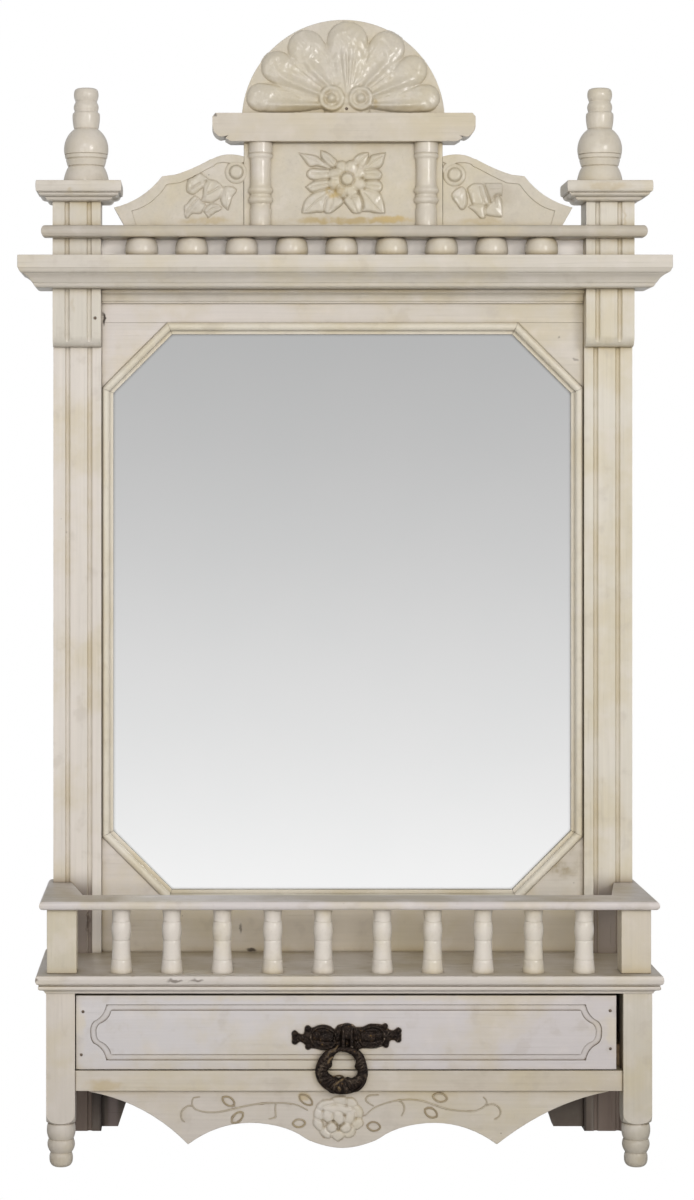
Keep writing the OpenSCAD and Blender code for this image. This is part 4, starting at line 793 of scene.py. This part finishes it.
def carve_flower(material):
    """Eight-petalled flower with a button, and three leaves towards each corner"""
    at = enlarged(290, 145, 15.68, CREST_FACE)
    relief = Relief(low=(-45, 925), high=(47, 992.5), pitch=0.5)
    leaves = (
        ((150, 135), (150, 135), (260, 150), (380, 165), (465, 215), (530, 280), (640, 370), (530, 350),
         (420, 325), (310, 335), (240, 260)),
        ((490, 90), (490, 90), (590, 125), (680, 195), (735, 270), (690, 350), (600, 320), (520, 240),
         (482, 160)),
        ((620, 400), (470, 380), (330, 375), (265, 435), (285, 510), (370, 548), (480, 545),
         (620, 520)),
        ((250, 660), (250, 660), (330, 595), (440, 562), (620, 555), (630, 640), (560, 690), (450, 720),
         (340, 740)),
        ((650, 690), (450, 730), (320, 790), (235, 880), (195, 985), (185, 1095), (185, 1095),
         (300, 1078), (420, 1050), (515, 1050), (545, 950), (580, 840), (690, 740)),
        ((650, 710), (740, 760), (825, 870), (810, 935), (730, 1000), (650, 1060), (575, 1105),
         (575, 1105), (540, 1030), (550, 930), (575, 840)),
        ((900, 780), (845, 870), (900, 960), (970, 1050), (1050, 1115), (1050, 1115), (1110, 1060),
         (1135, 960), (1120, 860), (1060, 770)),
        ((1080, 700), (1140, 860), (1155, 970), (1140, 1040), (1260, 1045), (1380, 1080), (1490, 1120),
         (1490, 1120), (1480, 990), (1450, 850), (1400, 755), (1300, 715), (1180, 690)),
        ((1130, 590), (1280, 560), (1400, 575), (1445, 640), (1425, 720), (1330, 735), (1220, 700),
         (1130, 660)),
        ((1140, 400), (1290, 380), (1390, 400), (1440, 465), (1400, 540), (1290, 548), (1130, 530)),
        ((1130, 385), (1290, 378), (1400, 360), (1455, 290), (1490, 130), (1490, 130), (1400, 140),
         (1290, 160), (1245, 215), (1200, 300)),
        ((975, 265), (1040, 175), (1130, 130), (1225, 125), (1225, 125), (1225, 210), (1180, 310),
         (1110, 390), (1020, 340)))
    veins = (
        ((600, 350), (430, 260), (230, 170)), ((670, 320), (580, 220), (510, 120)),
        ((590, 450), (460, 455), (340, 450)), ((590, 620), (450, 640), (320, 665)),
        ((620, 740), (430, 870), (240, 1050)), ((660, 760), (670, 900), (610, 1050)),
        ((960, 830), (1010, 960), (1050, 1070)), ((1150, 740), (1290, 920), (1450, 1080)),
        ((1170, 620), (1290, 640), (1390, 655)), ((1180, 460), (1290, 465), (1390, 470)),
        ((1190, 350), (1320, 250), (1450, 165)), ((1060, 320), (1130, 220), (1200, 150)))
    for outline, vein in zip(leaves, veins):
        relief.patch(at(*outline), height=3.0, rounding=2.8, groove=0.5, crown=0.7, veins=[at(*vein)],
                     grow=0.5)
    centre = at((893, 540))[0]
    relief.dome(centre, radius=15.5, height=3.4, edge=6.0, groove=1.0)
    for turn in (113, 159, 199, 247, 291, 339, 30, 72):
        way = (math.cos(math.radians(turn)), math.sin(math.radians(turn)))
        relief.stroke([away(centre, way, 5), away(centre, way, 13.4)], (3.4, 5.6, 6.5), height=4.3,
                      edge=3.2, veins=((0.0, 0.3, 0.12),), groove=0.8, ends=(0.75, 0.95))
    relief.dome(centre, radius=6.8, height=6.8, edge=6.0, groove=0.9)
    relief.uneven(0.25)
    relief.soften(1)
    piece = relief.build("carved_flower", CREST_FACE, material)
    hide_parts("crest_flower")


def carve_wing(material, name):
    """Curling leaves on a wing's sunk field, and the button of its volute"""
    places = {"left": enlarged(178, 165, 21.78, WING_GROUND),
              "right": enlarged(440, 150, 13.067, WING_GROUND)}
    spans = {"left": ((-158, 920), (-97, 979)), "right": ((97, 920), (158, 979))}
    volutes = {"left": (-106.6, 965.7), "right": (110.9, 963.1)}
    leaves = {
        "left": (
            ((370, 670), (280, 740), (190, 850), (90, 940), (150, 1100), (170, 1200), (170, 1200),
             (220, 1160), (260, 1100), (330, 1060), (480, 1060), (560, 960), (600, 860), (500, 800),
             (470, 740)),
            ((590, 940), (560, 1000), (600, 1080), (650, 1150), (650, 1150), (720, 1110), (800, 1040),
             (900, 1000), (960, 940), (900, 880), (820, 850), (700, 850)),
            ((500, 170), (330, 270), (230, 310), (190, 420), (180, 540), (220, 610), (330, 640),
             (430, 580), (540, 480), (600, 350), (660, 310)),
            ((980, 500), (960, 560), (930, 700), (940, 820), (1000, 920), (1095, 990), (1095, 990),
             (1110, 930), (1150, 800), (1180, 690), (1280, 560), (1200, 480), (1060, 460)),
            ((640, 340), (560, 450), (550, 560), (540, 680), (500, 790), (600, 810), (720, 820),
             (840, 770), (920, 700), (960, 600), (980, 500), (900, 400), (800, 340), (700, 320))),
        "right": (
            ((370, 740), (440, 800), (500, 860), (560, 950), (560, 950), (590, 880), (590, 780),
             (570, 720), (450, 715)),
            ((790, 620), (820, 720), (825, 880), (825, 880), (700, 870), (600, 845), (590, 780),
             (640, 700), (740, 600)),
            ((580, 460), (620, 440), (800, 440), (840, 510), (830, 600), (790, 590), (720, 590),
             (660, 680)),
            ((160, 560), (165, 640), (220, 710), (260, 770), (300, 780), (340, 740), (360, 680),
             (350, 600), (330, 520), (270, 480)),
            ((360, 500), (440, 440), (560, 450), (600, 560), (650, 690), (600, 720), (440, 715),
             (400, 650), (380, 580)))}
    cuts = {
        "left": (((300, 510), (480, 400)), ((480, 160), (720, 310)), ((700, 1090), (735, 1110)),
                 ((620, 640), (760, 570), (900, 470)), ((430, 740), (280, 900), (170, 1050)),
                 ((640, 1050), (740, 960), (880, 920))),
        "right": (((580, 460), (620, 570), (660, 680)), ((520, 490), (550, 600), (570, 690)))}
    ridges = {
        "left": (((1040, 520), (1060, 720), (1085, 930)), ((1250, 560), (1170, 730), (1100, 900)),
                 ((700, 400), (640, 560), (600, 740)), ((300, 350), (240, 450), (260, 560)),
                 ((480, 860), (330, 960), (210, 1130))),
        "right": (((180, 620), (220, 690), (270, 760)), ((330, 560), (320, 660), (300, 760)),
                  ((420, 560), (430, 690)), ((730, 620), (740, 740)), ((380, 760), (520, 880)),
                  ((650, 500), (800, 490)))}
    relief = Relief(*spans[name], pitch=0.55)
    at = places[name]
    for outline in leaves[name]:
        relief.patch(at(*outline), height=2.1, rounding=2.6, groove=0.4, crown=0.8, grow=0.3)
    for line in cuts[name]:
        relief.cut(at(*line), width=0.9, depth=1.3)
    for line in ridges[name]:
        relief.cut(at(*line), width=0.9, depth=-0.7)
    relief.uneven(0.2)
    relief.dome(volutes[name], radius=11.6, height=2.0, edge=5.0, groove=0.2)
    relief.dome(volutes[name], radius=7.2, height=5.8, edge=7.0, groove=0.5)
    relief.soften(1)
    piece = relief.build("carved_leaves_" + name, WING_GROUND, material)
    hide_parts("wing_leaves_" + name)


def carve_rosette(material):
    """Peony: an outer ring of ten petals, three folded ones within it and three at the middle"""
    at = enlarged(305, 1088, 24.12, APRON_FACE)
    outer = (
        ((640, 220), (780, 165), (920, 165), (1010, 220), (980, 400), (800, 420), (660, 400)),
        ((1000, 220), (1130, 200), (1225, 275), (1270, 390), (1150, 500), (1000, 420)),
        ((1260, 385), (1365, 470), (1400, 590), (1340, 705), (1180, 680), (1120, 500)),
        ((1335, 700), (1405, 800), (1370, 905), (1210, 990), (1080, 900), (1140, 740)),
        ((1210, 985), (1205, 1085), (1125, 1160), (1010, 1175), (930, 1135), (860, 1000),
         (1130, 900)),
        ((350, 1020), (375, 1095), (470, 1165), (565, 1190), (640, 1130), (700, 1000), (480, 900)),
        ((225, 690), (182, 785), (200, 875), (270, 955), (370, 1020), (440, 900), (400, 760)),
        ((260, 440), (208, 540), (202, 625), (238, 695), (420, 740), (440, 560), (350, 440)),
        ((640, 250), (480, 255), (335, 320), (262, 440), (400, 520), (560, 460), (700, 360)),
        ((620, 1110), (690, 1205), (770, 1262), (770, 1262), (880, 1205), (945, 1130), (860, 980),
         (700, 980)))
    middle = (
        ((440, 420), (600, 370), (760, 345), (960, 390), (1130, 450), (1215, 550), (1080, 640),
         (860, 600), (700, 640), (520, 600), (430, 520)),
        ((1190, 540), (1210, 680), (1150, 810), (1050, 880), (900, 800), (960, 620), (1080, 540)),
        ((440, 520), (395, 640), (440, 740), (540, 810), (680, 740), (680, 600), (560, 530)))
    inner = (
        ((560, 810), (495, 900), (535, 1010), (640, 1048), (745, 1005), (785, 920), (730, 810),
         (640, 770)),
        ((900, 830), (815, 930), (870, 1020), (980, 1056), (1085, 1005), (1125, 900), (1065, 830),
         (990, 790)),
        ((690, 560), (655, 690), (730, 810), (820, 870), (930, 800), (955, 670), (890, 565), (780, 530)))
    relief = Relief(low=(-37, 20), high=(19, 73), pitch=0.42)
    for row, rise in ((outer, 2.3), (middle, 3.1), (inner, 3.9)):
        for outline in row:
            relief.patch(at(*outline), rise, rounding=2.6, groove=0.6, crown=0.6)
    relief.cut(at((785, 950), (795, 970)), width=1.0, depth=1.5)
    relief.uneven(0.2)
    relief.soften(2)
    piece = relief.build("carved_rosette", APRON_FACE, material)
    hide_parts("apron_rosette")


def leaf_rim(start, end, half):
    """Points round a leaf that reaches from one point to another, with its half width"""
    (ax, ay), (bx, by) = start, end
    length = math.hypot(bx - ax, by - ay)
    rim = []
    for cosine, sine in turns(16):
        along = 0.5 - 0.42 * cosine
        over = half * 0.92 * math.copysign(abs(sine) ** 1.3, sine) / length
        rim.append((ax + (bx - ax) * along + (by - ay) * over,
                    ay + (by - ay) * along + (ax - bx) * over))
    return rim


def carve_vines(stem_paint, leaf_paint):
    """Two scrolling stems with outlined leaves, in low relief, beside the rosette"""
    places = {"left": enlarged(100, 1070, 6.272, APRON_FACE),
              "right": enlarged(340, 1070, 6.031, APRON_FACE)}
    lines = {
        "left": (((1300, 245), (1240, 215), (1180, 203), (1110, 200), (1000, 205), (900, 222), (820, 242),
                  (740, 257), (660, 257), (600, 240), (580, 215), (578, 185), (590, 168), (625, 163)),
                 ((575, 218), (545, 222), (515, 250), (508, 280), (515, 305), (530, 318)),
                 ((1103, 203), (1098, 235), (1100, 270), (1098, 290), (1060, 300))),
        "right": (((150, 270), (200, 225), (270, 195), (340, 178), (420, 172), (500, 182), (570, 205),
                   (640, 228), (720, 240), (800, 242), (850, 225), (880, 200), (878, 175), (862, 158)),
                  ((880, 208), (915, 200), (950, 215), (965, 245), (955, 275), (930, 290)),
                  ((355, 180), (380, 200), (385, 235), (370, 270)),
                  ((230, 145), (170, 150), (155, 180), (200, 210)))}
    leaves = {
        "left": (((762, 162), (848, 217), 27), ((822, 328), (900, 255), 28),
                 ((1243, 148), (1337, 214), 27), ((1200, 330), (1293, 325), 27)),
        "right": (((550, 150), (650, 170), 28), ((503, 226), (588, 277), 29),
                  ((155, 328), (248, 340), 29))}
    spans = {"left": ((-232, 34), (-32, 76)), "right": ((14, 34), (165, 76))}
    for name, at in places.items():
        stems = Relief(*spans[name], pitch=0.4)
        for line in lines[name]:
            stems.stroke(at(*line), (0.5, 0.7, 0.7, 0.5), height=1.0, edge=2.0, groove=0.0,
                         ends=(0.9, 0.9))
        stems.build("carved_stems_" + name, APRON_FACE, stem_paint, limit=0.02)
        relief = Relief(*spans[name], pitch=0.4)
        for leaf in leaves[name]:
            relief.rim(at(*leaf_rim(*leaf)), steps=3, half_width=0.8, height=1.2)
        relief.build("carved_vine_" + name, APRON_FACE, leaf_paint, limit=0.02)


def nail_heads(material):
    """Small nail heads, as (px, py, depth, radius, body)"""
    nails = ((83.2, 1010.8, 151, 1.5, "drawer"), (81.5, 1053.8, 151, 1.4, "drawer"),
             (609.4, 1009.7, 151, 1.5, "drawer"), (609.6, 1047.7, 151, 1.4, "drawer"),
             (346.5, 108.7, 40, 1.5, "frame"), (95, 318, 41, 1.6, "frame"))
    rings = ((1.0, -1.0), (1.0, 0.1), (0.7, 0.35), (0.3, 0.42))
    sides = 12
    faces = tube_faces(0, len(rings), sides)
    for number, (px, py, depth, radius, body) in enumerate(nails):
        x, z = seen(px, py, depth)
        points = [metres(x + radius * reach * cosine, depth + out, z + radius * reach * sine)
                  for reach, out in rings for cosine, sine in turns(sides)]
        mesh = closed_mesh("nail_head", points, faces)
        place_piece("nail_head_" + str(number + 1), mesh, material, body)


# Drawer pull

def cast_plate(material):
    """Cast plate: a panelled lobe with nubs and a knob to either side of a boss, and the
    knuckle that holds the ring"""
    at = enlarged(288, 1015, 13.4, PLATE_BACK + 2)
    outline = ((48, 290), (58, 222), (100, 198), (150, 238), (212, 240), (222, 152), (270, 128),
               (312, 162), (400, 130), (480, 120), (560, 138), (620, 178), (660, 132), (720, 110),
               (800, 100), (870, 118), (910, 150), (1000, 148), (1090, 110), (1200, 110),
               (1260, 118), (1295, 98), (1332, 120), (1335, 172), (1400, 198), (1432, 178),
               (1480, 155), (1510, 220), (1516, 290), (1500, 352), (1468, 360), (1420, 330),
               (1360, 340), (1348, 400), (1310, 436), (1262, 412), (1180, 436), (1080, 442),
               (985, 440), (900, 470), (790, 480), (680, 476), (600, 462), (490, 464), (400, 450),
               (312, 438), (270, 462), (230, 440), (226, 388), (170, 352), (148, 356), (100, 392),
               (68, 368))
    relief = Relief(low=(-60, 111), high=(55, 143), pitch=0.4)
    relief.patch(at(*outline), height=2.2, rounding=1.6, groove=0.0, crown=0.5)
    for cx, cy, radius in ((88, 240, 3.0), (90, 345, 3.0), (268, 172, 2.8), (270, 415, 2.8),
                           (1298, 145, 2.8), (1308, 392, 2.8), (1478, 205, 3.0), (1476, 318, 3.0),
                           (378, 275, 4.2), (1215, 270, 4.2), (165, 298, 2.8), (1392, 268, 2.8)):
        relief.dome(at((cx, cy))[0], radius, height=3.4, edge=2.6, groove=0.7)
    for rim in (((300, 285), (360, 175), (480, 150), (600, 210), (640, 300), (600, 400), (480, 440),
                 (360, 400)),
                ((960, 300), (1000, 190), (1110, 145), (1230, 170), (1290, 270), (1240, 380),
                 (1120, 415), (1000, 390))):
        relief.rim(at(*rim), steps=5, half_width=1.5, height=3.6, groove=0.5, edge=2.2)
    for panel in (((430, 235), (600, 235), (620, 290), (600, 340), (430, 340), (415, 290)),
                  ((985, 225), (1160, 225), (1175, 285), (1160, 340), (985, 340), (970, 285))):
        relief.patch(at(*panel), height=3.0, rounding=1.2, groove=0.8, crown=0.6)
    relief.dome(at((785, 285))[0], radius=12.2, height=3.2, edge=5.0, groove=0.8)
    for nub in at((660, 300), (905, 300)):
        relief.dome(nub, radius=3.0, height=4.4, edge=2.4, groove=0.6)
    for cx in (735, 845):
        relief.stroke(at((cx, 180), (cx, 430)), (2.6, 2.8), height=8.4, edge=3.0, groove=0.6,
                      ends=(0.8, 1))
    relief.stroke(at((790, 185), (790, 260)), (6.0, 5.0), height=6.8, edge=2.6, groove=0.5,
                  ends=(0.8, 1))
    x, z = relief.x, relief.z
    grain = np.sin(2.3 * x + 1.7 * np.sin(1.3 * z)) * np.sin(2.6 * z + np.sin(1.1 * x))
    relief.height += np.where(relief.height > 1, 0.4 * grain, 0)
    relief.soften(1)
    piece = relief.build("cast_plate", PLATE_BACK, material, "drawer")
    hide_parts("pull_plate")


def cast_ring(material):
    """Drop ring, thin at the knuckle and broad below, with a scalloped inner edge and leafy relief"""
    at = enlarged(285, 1010, 12.54, PIVOT_D)
    outer = [(712, 440), (600, 452), (505, 498), (432, 580), (386, 680), (376, 780), (408, 880),
             (495, 975), (600, 1030), (712, 1044), (830, 1028), (935, 975), (1010, 880),
             (1036, 780), (1022, 670), (985, 560), (930, 495), (830, 450)]
    inner = [(705, 505), (655, 522), (615, 560), (590, 620), (584, 690), (532, 745), (575, 800),
             (630, 815), (665, 838), (705, 820), (740, 842), (780, 822), (830, 835), (888, 805),
             (905, 752), (868, 700), (878, 620), (810, 540)]
    outer_line = closed_curve(at(*outer), 14)
    inner_line = closed_curve(at(*inner), 14)
    count = len(outer_line)
    sides = 20
    points = []
    for number, ((ox, oz), (ix, iz)) in enumerate(zip(outer_line, inner_line)):
        x, z = (ox + ix) / 2, (oz + iz) / 2
        half = math.dist((ox, oz), (ix, iz)) / 2
        way = ((ox - x) / half, (oz - z) / half)
        around = 2 * math.pi * number / count
        for out, lift in turns(sides):
            ripple = 0.2 * math.sin(31 * around + 3.4 * out + 2 * math.sin(5 * around))
            ripple += 0.16 * math.sin(47 * around - 4.2 * out)
            thick = 3.2 * (1 + ripple * abs(lift) * min(half / 5, 1))
            points.append(metres(x + way[0] * half * out, PIVOT_D + thick * lift,
                                 z + way[1] * half * out))
    faces = tube_faces(0, count, sides, closed=True)
    mesh = closed_mesh("cast_ring", points, faces)
    piece = place_piece("cast_ring", mesh, material, "pull")
    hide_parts("pull_ring")


def ring_leaves(name, lines, material):
    """Tapered leaf ribs on the front of the ring, each as (half width, points as (px, py))"""
    sides = 10
    points = []
    faces = []
    for half, seen_line in lines:
        line = curve_through([seen(px, py, PIVOT_D + 3) for px, py in seen_line], 5)
        last = len(line) - 1
        faces += tube_faces(len(points), len(line), sides)
        for number, (x, z) in enumerate(line):
            before = line[max(number - 1, 0)]
            after = line[min(number + 1, last)]
            length = math.dist(before, after)
            way = ((after[0] - before[0]) / length, (after[1] - before[1]) / length)
            radius = half * (0.1 + 0.9 * math.sin(math.pi * number / last) ** 0.6)
            points += [metres(x - way[1] * radius * cosine, PIVOT_D + 2.3 + 1.1 * radius * sine,
                              z + way[0] * radius * cosine) for cosine, sine in turns(sides)]
    place_piece(name, closed_mesh(name, points, faces), material, "pull")


# Where each finish goes

# Darker brown marks on the shelf round the feet of the balusters
BALUSTER_FOOT_MARKS = tuple((130 + 49.3 * number, 969, 150, 15, 3.5, 0.75, srgb(132, 113, 84))
                      for number in range(9))
# Height in the frame, in metres, above which the boards' paint is lightened as painted light in the
# recess behind the attic beads
RECESS_LIGHT_ABOVE = 0.012

# Paints, as (name, nodes that wear it, width of their soft edges, grain, tone at the left, tone at the
# right, settings). Stains are (px, py, depth, half width, half height, strength, colour).
PAINTS = (
    ("uprights", ("pilaster_left", "pilaster_right"), 0.7, "z", (217, 210, 201), (214, 208, 195),
     dict(patina=1.25, seed=1.3, streaks=0.6, painted_foot_shadow_and_grime=True,
          stains=((88.5, 928, 30, 2.2, 28, 0.9, CHIP), (72, 306, 40, 3, 10, 0.4, OCHRE),
                  (608, 342, 45, 38, 7, 0.75, OCHRE), (625, 225, 45, 3, 26, 0.4, OCHRE)))),
    ("blocks", ("upper_block_left", "upper_block_right"), 0.7, "z", (209, 203, 191), (212, 206, 193),
     dict(patina=1.25, seed=1.9, streaks=0.6,
          stains=((72, 306, 40, 3, 10, 0.4, OCHRE), (625, 225, 45, 3, 26, 0.4, OCHRE)))),
    ("posts", ("post_left", "post_right"), 0.8, "z", (198, 190, 172), (201, 192, 177),
     dict(seed=3.6, streaks=0.5)),
    ("legs", ("leg_left", "leg_right"), 0.0, "z", (208, 200, 190), (201, 194, 181),
     dict(seed=3.8, streaks=0.5,
          stains=((48, 1150, 150, 24, 22, 0.35, DUST), (633, 1150, 150, 24, 22, 0.35, DUST)))),
    ("low_rail", ("front_rail",), 0.6, "x", (208, 200, 189), (198, 188, 172),
     dict(wear=0.5, seed=11.3, streaks=0.6,
          stains=((104, 1085, 153, 24, 9, 0.55, OCHRE), (150, 1090, 153, 14, 9, 0.35, OCHRE)))),
    ("turned", ("finial_left", "finial_right", "attic_beads", "crest_columns"), 0.0, "none",
     (212, 204, 191), (211, 203, 188), dict(patina=0.8, seed=12.4, streaks=0.3, gloss=0.5, crease_shade=0.35)),
    ("balusters", ("balusters",), 0.0, "none", (216, 209, 200), (215, 208, 197),
     dict(patina=0.8, seed=12.9, streaks=0.3, gloss=0.5, crease_shade=0.35)),
    ("beading", ("glass_beads",), 0.5, "none", (219, 212, 197), (218, 211, 195),
     dict(patina=0.3, seed=13.5, streaks=0.3, crease_shade=0.3)),
    ("rails", ("bed_moulding", "cornice_front", "cornice_return_left", "cornice_return_right", "cap_left",
               "cap_right"), 0.5, "x", (206, 199, 188), (206, 199, 187),
     dict(seed=4.1, streaks=0.7,
          stains=((70, 191, 60, 5, 5, 0.5, OCHRE), (605, 186, 60, 34, 6, 0.45, OCHRE)))),
    ("gallery", ("gallery_front_rail", "gallery_side_rail_left", "gallery_side_rail_right"), 0.5, "x",
     (208, 202, 200), (207, 200, 197),
     dict(seed=4.4, streaks=0.7, stains=((38, 897, 150, 6, 4, 0.6, DIRT_AND_SHADE),))),
    ("fields", ("frieze_board", "corner_boards"), 0.6, "x", (210, 203, 197), (203, 196, 184),
     dict(patina=0.8, seed=7.7, streaks=0.6, crease_shade=0.4, recess_light_above=RECESS_LIGHT_ABOVE,
          stains=((102.8, 318, 24, 2.6, 9, 1.0, CHIP), (560, 862, 24, 28, 22, 1.0, DUST),
                  (559, 336, 24, 1.6, 1.6, 0.5, DIRT_AND_SHADE), (577, 359, 24, 1.8, 1.6, 0.5, DIRT_AND_SHADE)))),
    ("dull", ("lower_board",), 0.6, "x", (207, 197, 181), (204, 193, 174),
     dict(patina=1.3, seed=10.2, streaks=0.4, painted_foot_shadow_and_grime=True,
          stains=((241, 930, 24, 2.4, 6, 0.6, CHIP), (252, 951, 24, 8, 2.2, 0.9, CHIP)))),
    ("drawer", ("drawer_front",), 0.6, "x", (208, 204, 204), (204, 198, 197),
     dict(patina=0.8, seed=6.6, streaks=0.5, crease_shade=1.0,
          stains=((78, 1030, 151, 9, 34, 0.5, LIMED), (613, 1030, 151, 9, 34, 0.5, LIMED),
                  (330, 996, 151, 280, 5, 0.4, LIMED)))),
    ("worn", ("top_board",), 0.8, "x", (204, 195, 181), (202, 193, 177),
     dict(patina=1.1, wear=0.9, seed=2.9, streaks=0.6,
          stains=((238, 143, 60, 9, 4, 0.9, CHIP), (448, 147, 60, 9, 4, 0.9, CHIP),
                  (214, 113, 60, 2.5, 2.5, 0.9, CHIP), (476, 114, 60, 2.5, 2.5, 0.9, CHIP)))),
    ("apron", ("apron",), 0.8, "x", (207, 199, 190), (205, 197, 184),
     dict(patina=1.1, wear=0.9, seed=2.9, streaks=0.6,
          stains=((338, 1156, 148, 28, 9, 0.9, OCHRE), (304, 1096, 148, 9, 7, 0.6, OCHRE)))),
    ("petals", (), 0.0, "none", (211, 204, 195), (209, 202, 192),
     dict(patina=0.9, seed=5.9, streaks=0.4, gloss=0.4, crease_shade=0.38)),
    ("attic_rail", ("attic_rail",), 0.5, "x", (188, 180, 168), (187, 179, 165),
     dict(seed=4.7, streaks=0.8)),
    ("shelf", ("shelf",), 0.8, "x", (206, 199, 192), (205, 198, 190),
     dict(patina=1.1, wear=0.9, seed=2.2, streaks=0.6,
          stains=BALUSTER_FOOT_MARKS + ((175, 979, 160, 9, 2.2, 0.7, DIRT_AND_SHADE),
                                  (196, 979, 160, 9, 2.4, 0.7, DIRT_AND_SHADE),
                                  (36, 979, 160, 3, 3, 0.7, DIRT_AND_SHADE)))),
    ("carving", ("crest_block", "wing_left", "wing_right", "shell_board"), 0.6, "none",
     (199, 191, 176), (198, 190, 174),
     dict(patina=0.8, seed=5.2, streaks=0.5, gloss=0.6, crease_shade=0.32,
          stains=((336, 190, 40, 10, 11, 0.95, OCHRE), (332, 193, 40, 8, 8, 0.95, STAIN),
                  (333, 186.7, 42, 1.6, 1.6, 0.9, DIRT_AND_SHADE), (350, 221, 30, 84, 5, 0.95, OCHRE),
                  (390, 219, 30, 26, 5, 0.9, STAIN), (375, 103, 42, 5, 6, 0.8, OCHRE),
                  (205, 221, 32, 34, 5, 0.6, OCHRE), (480, 221, 32, 30, 5, 0.45, OCHRE),
                  (500, 196, 32, 26, 16, 0.3, DUST)))),
    # Side panels: paint darkened as painted shade, with some grime
    ("side_grime_and_shadow", ("side_panel_left", "side_panel_right"), 0.5, "z", (120, 108, 94), (130, 118, 100),
     dict(seed=8.4, streaks=0.6, painted_foot_shadow_and_grime=True)),
    ("stems", (), 0.0, "none", (188, 178, 161), (186, 176, 156), dict(patina=1.2, seed=9.3)),
    ("vines", (), 0.0, "none", (164, 150, 126), (161, 146, 120), dict(patina=1.6, seed=9.3)))

# Metals, as (name, body, high places, gilding)
METALS = (("dark_bronze", (30, 23, 20), (150, 134, 118), (176, 138, 76)),
          ("rib_bronze", (32, 25, 21), (90, 78, 66), (118, 94, 58)),
          ("gilt_bronze", (50, 38, 28), (142, 120, 88), (166, 130, 76)),
          ("ring_bronze", (28, 21, 18), (112, 98, 84), (150, 116, 64)),
          ("screw_iron", (34, 27, 23), (60, 50, 42), (60, 50, 42)))

# Leaf ribs on the ring, as (half width, points)
RIBS = ((1.5, ((326, 1060), (321, 1066), (319.5, 1073), (322, 1081))),
        (1.4, ((357, 1050), (359, 1053), (361, 1056))),
        (1.5, ((358, 1059), (361, 1062), (362, 1066))),
        (1.4, ((365, 1072), (365, 1079), (360, 1087), (354, 1091))),
        (1.3, ((343, 1077), (350, 1081), (357, 1079), (361, 1074))),
        (1.5, ((326, 1086), (330, 1090), (335, 1092))),
        (1.7, ((345.5, 1086), (347, 1089), (350, 1091))))
GILT_RIBS = ((1.1, ((338, 1044), (334, 1049), (329, 1052), (324, 1059))),
             (1.1, ((334, 1055), (330, 1058), (327, 1063))),
             (1.1, ((333.5, 1089), (334.5, 1084), (339.5, 1080), (343.5, 1077), (339.5, 1074.5),
                    (332, 1075.5))),
             (1.6, ((337, 1085), (339, 1087.5), (340, 1090))))

# The glass shows a plain room, and not the gallery on the shelf before it
NOT_IN_GLASS = ("gallery_front_rail", "gallery_side_rail_left", "gallery_side_rail_right", "balusters",
                "post_left", "post_right")


def dress_nodes(metals):
    """Gives every node of the frame its finish, and gives back the paints by name"""
    paints = {}
    for name, nodes, edge, grain, left, right, settings in PAINTS:
        paints[name] = paint("paint_" + name, grain, srgb(*left), srgb(*right), **settings)
        dress(nodes, paints[name], edge)
    wood = bare_wood("bare_softwood", "x", srgb(188, 160, 120), srgb(150, 118, 80), seed=3.0)
    side_wood = bare_wood("bare_softwood_sides", "y", srgb(186, 158, 118), srgb(148, 116, 78), seed=6.0)
    dress(("crest_battens", "backing_board", "drawer_back", "drawer_base"), wood, 0.5)
    dress(("runner_left", "runner_right", "guide_left", "guide_right", "drawer_side_left",
           "drawer_side_right"), side_wood, 0.5)
    dress(("backing_sprigs", "pull_screws"), metals["screw_iron"])
    dress(("mirror_glass",), mirror_material())
    for name in NOT_IN_GLASS:
        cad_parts[name].visible_glossy = False
    return paints


def main():
    add_camera()
    set_world()
    add_floor()
    for lamp in LAMPS:
        add_lamp(*lamp)

    metals = {name: cast_metal(name, *(srgb(*tone) for tone in tones)) for name, *tones in METALS}
    paints = dress_nodes(metals)
    carve_shell(paints["carving"])
    carve_flower(paints["carving"])
    carve_wing(paints["carving"], "left")
    carve_wing(paints["carving"], "right")
    carve_rosette(paints["petals"])
    carve_vines(paints["stems"], paints["vines"])
    cast_plate(metals["dark_bronze"])
    cast_ring(metals["ring_bronze"])
    ring_leaves("ring_ribs", RIBS, metals["rib_bronze"])
    ring_leaves("ring_gilding", GILT_RIBS, metals["gilt_bronze"])
    nail_heads(metals["dark_bronze"])


bpy.context.scene.view_settings.view_transform = "Standard"
main()
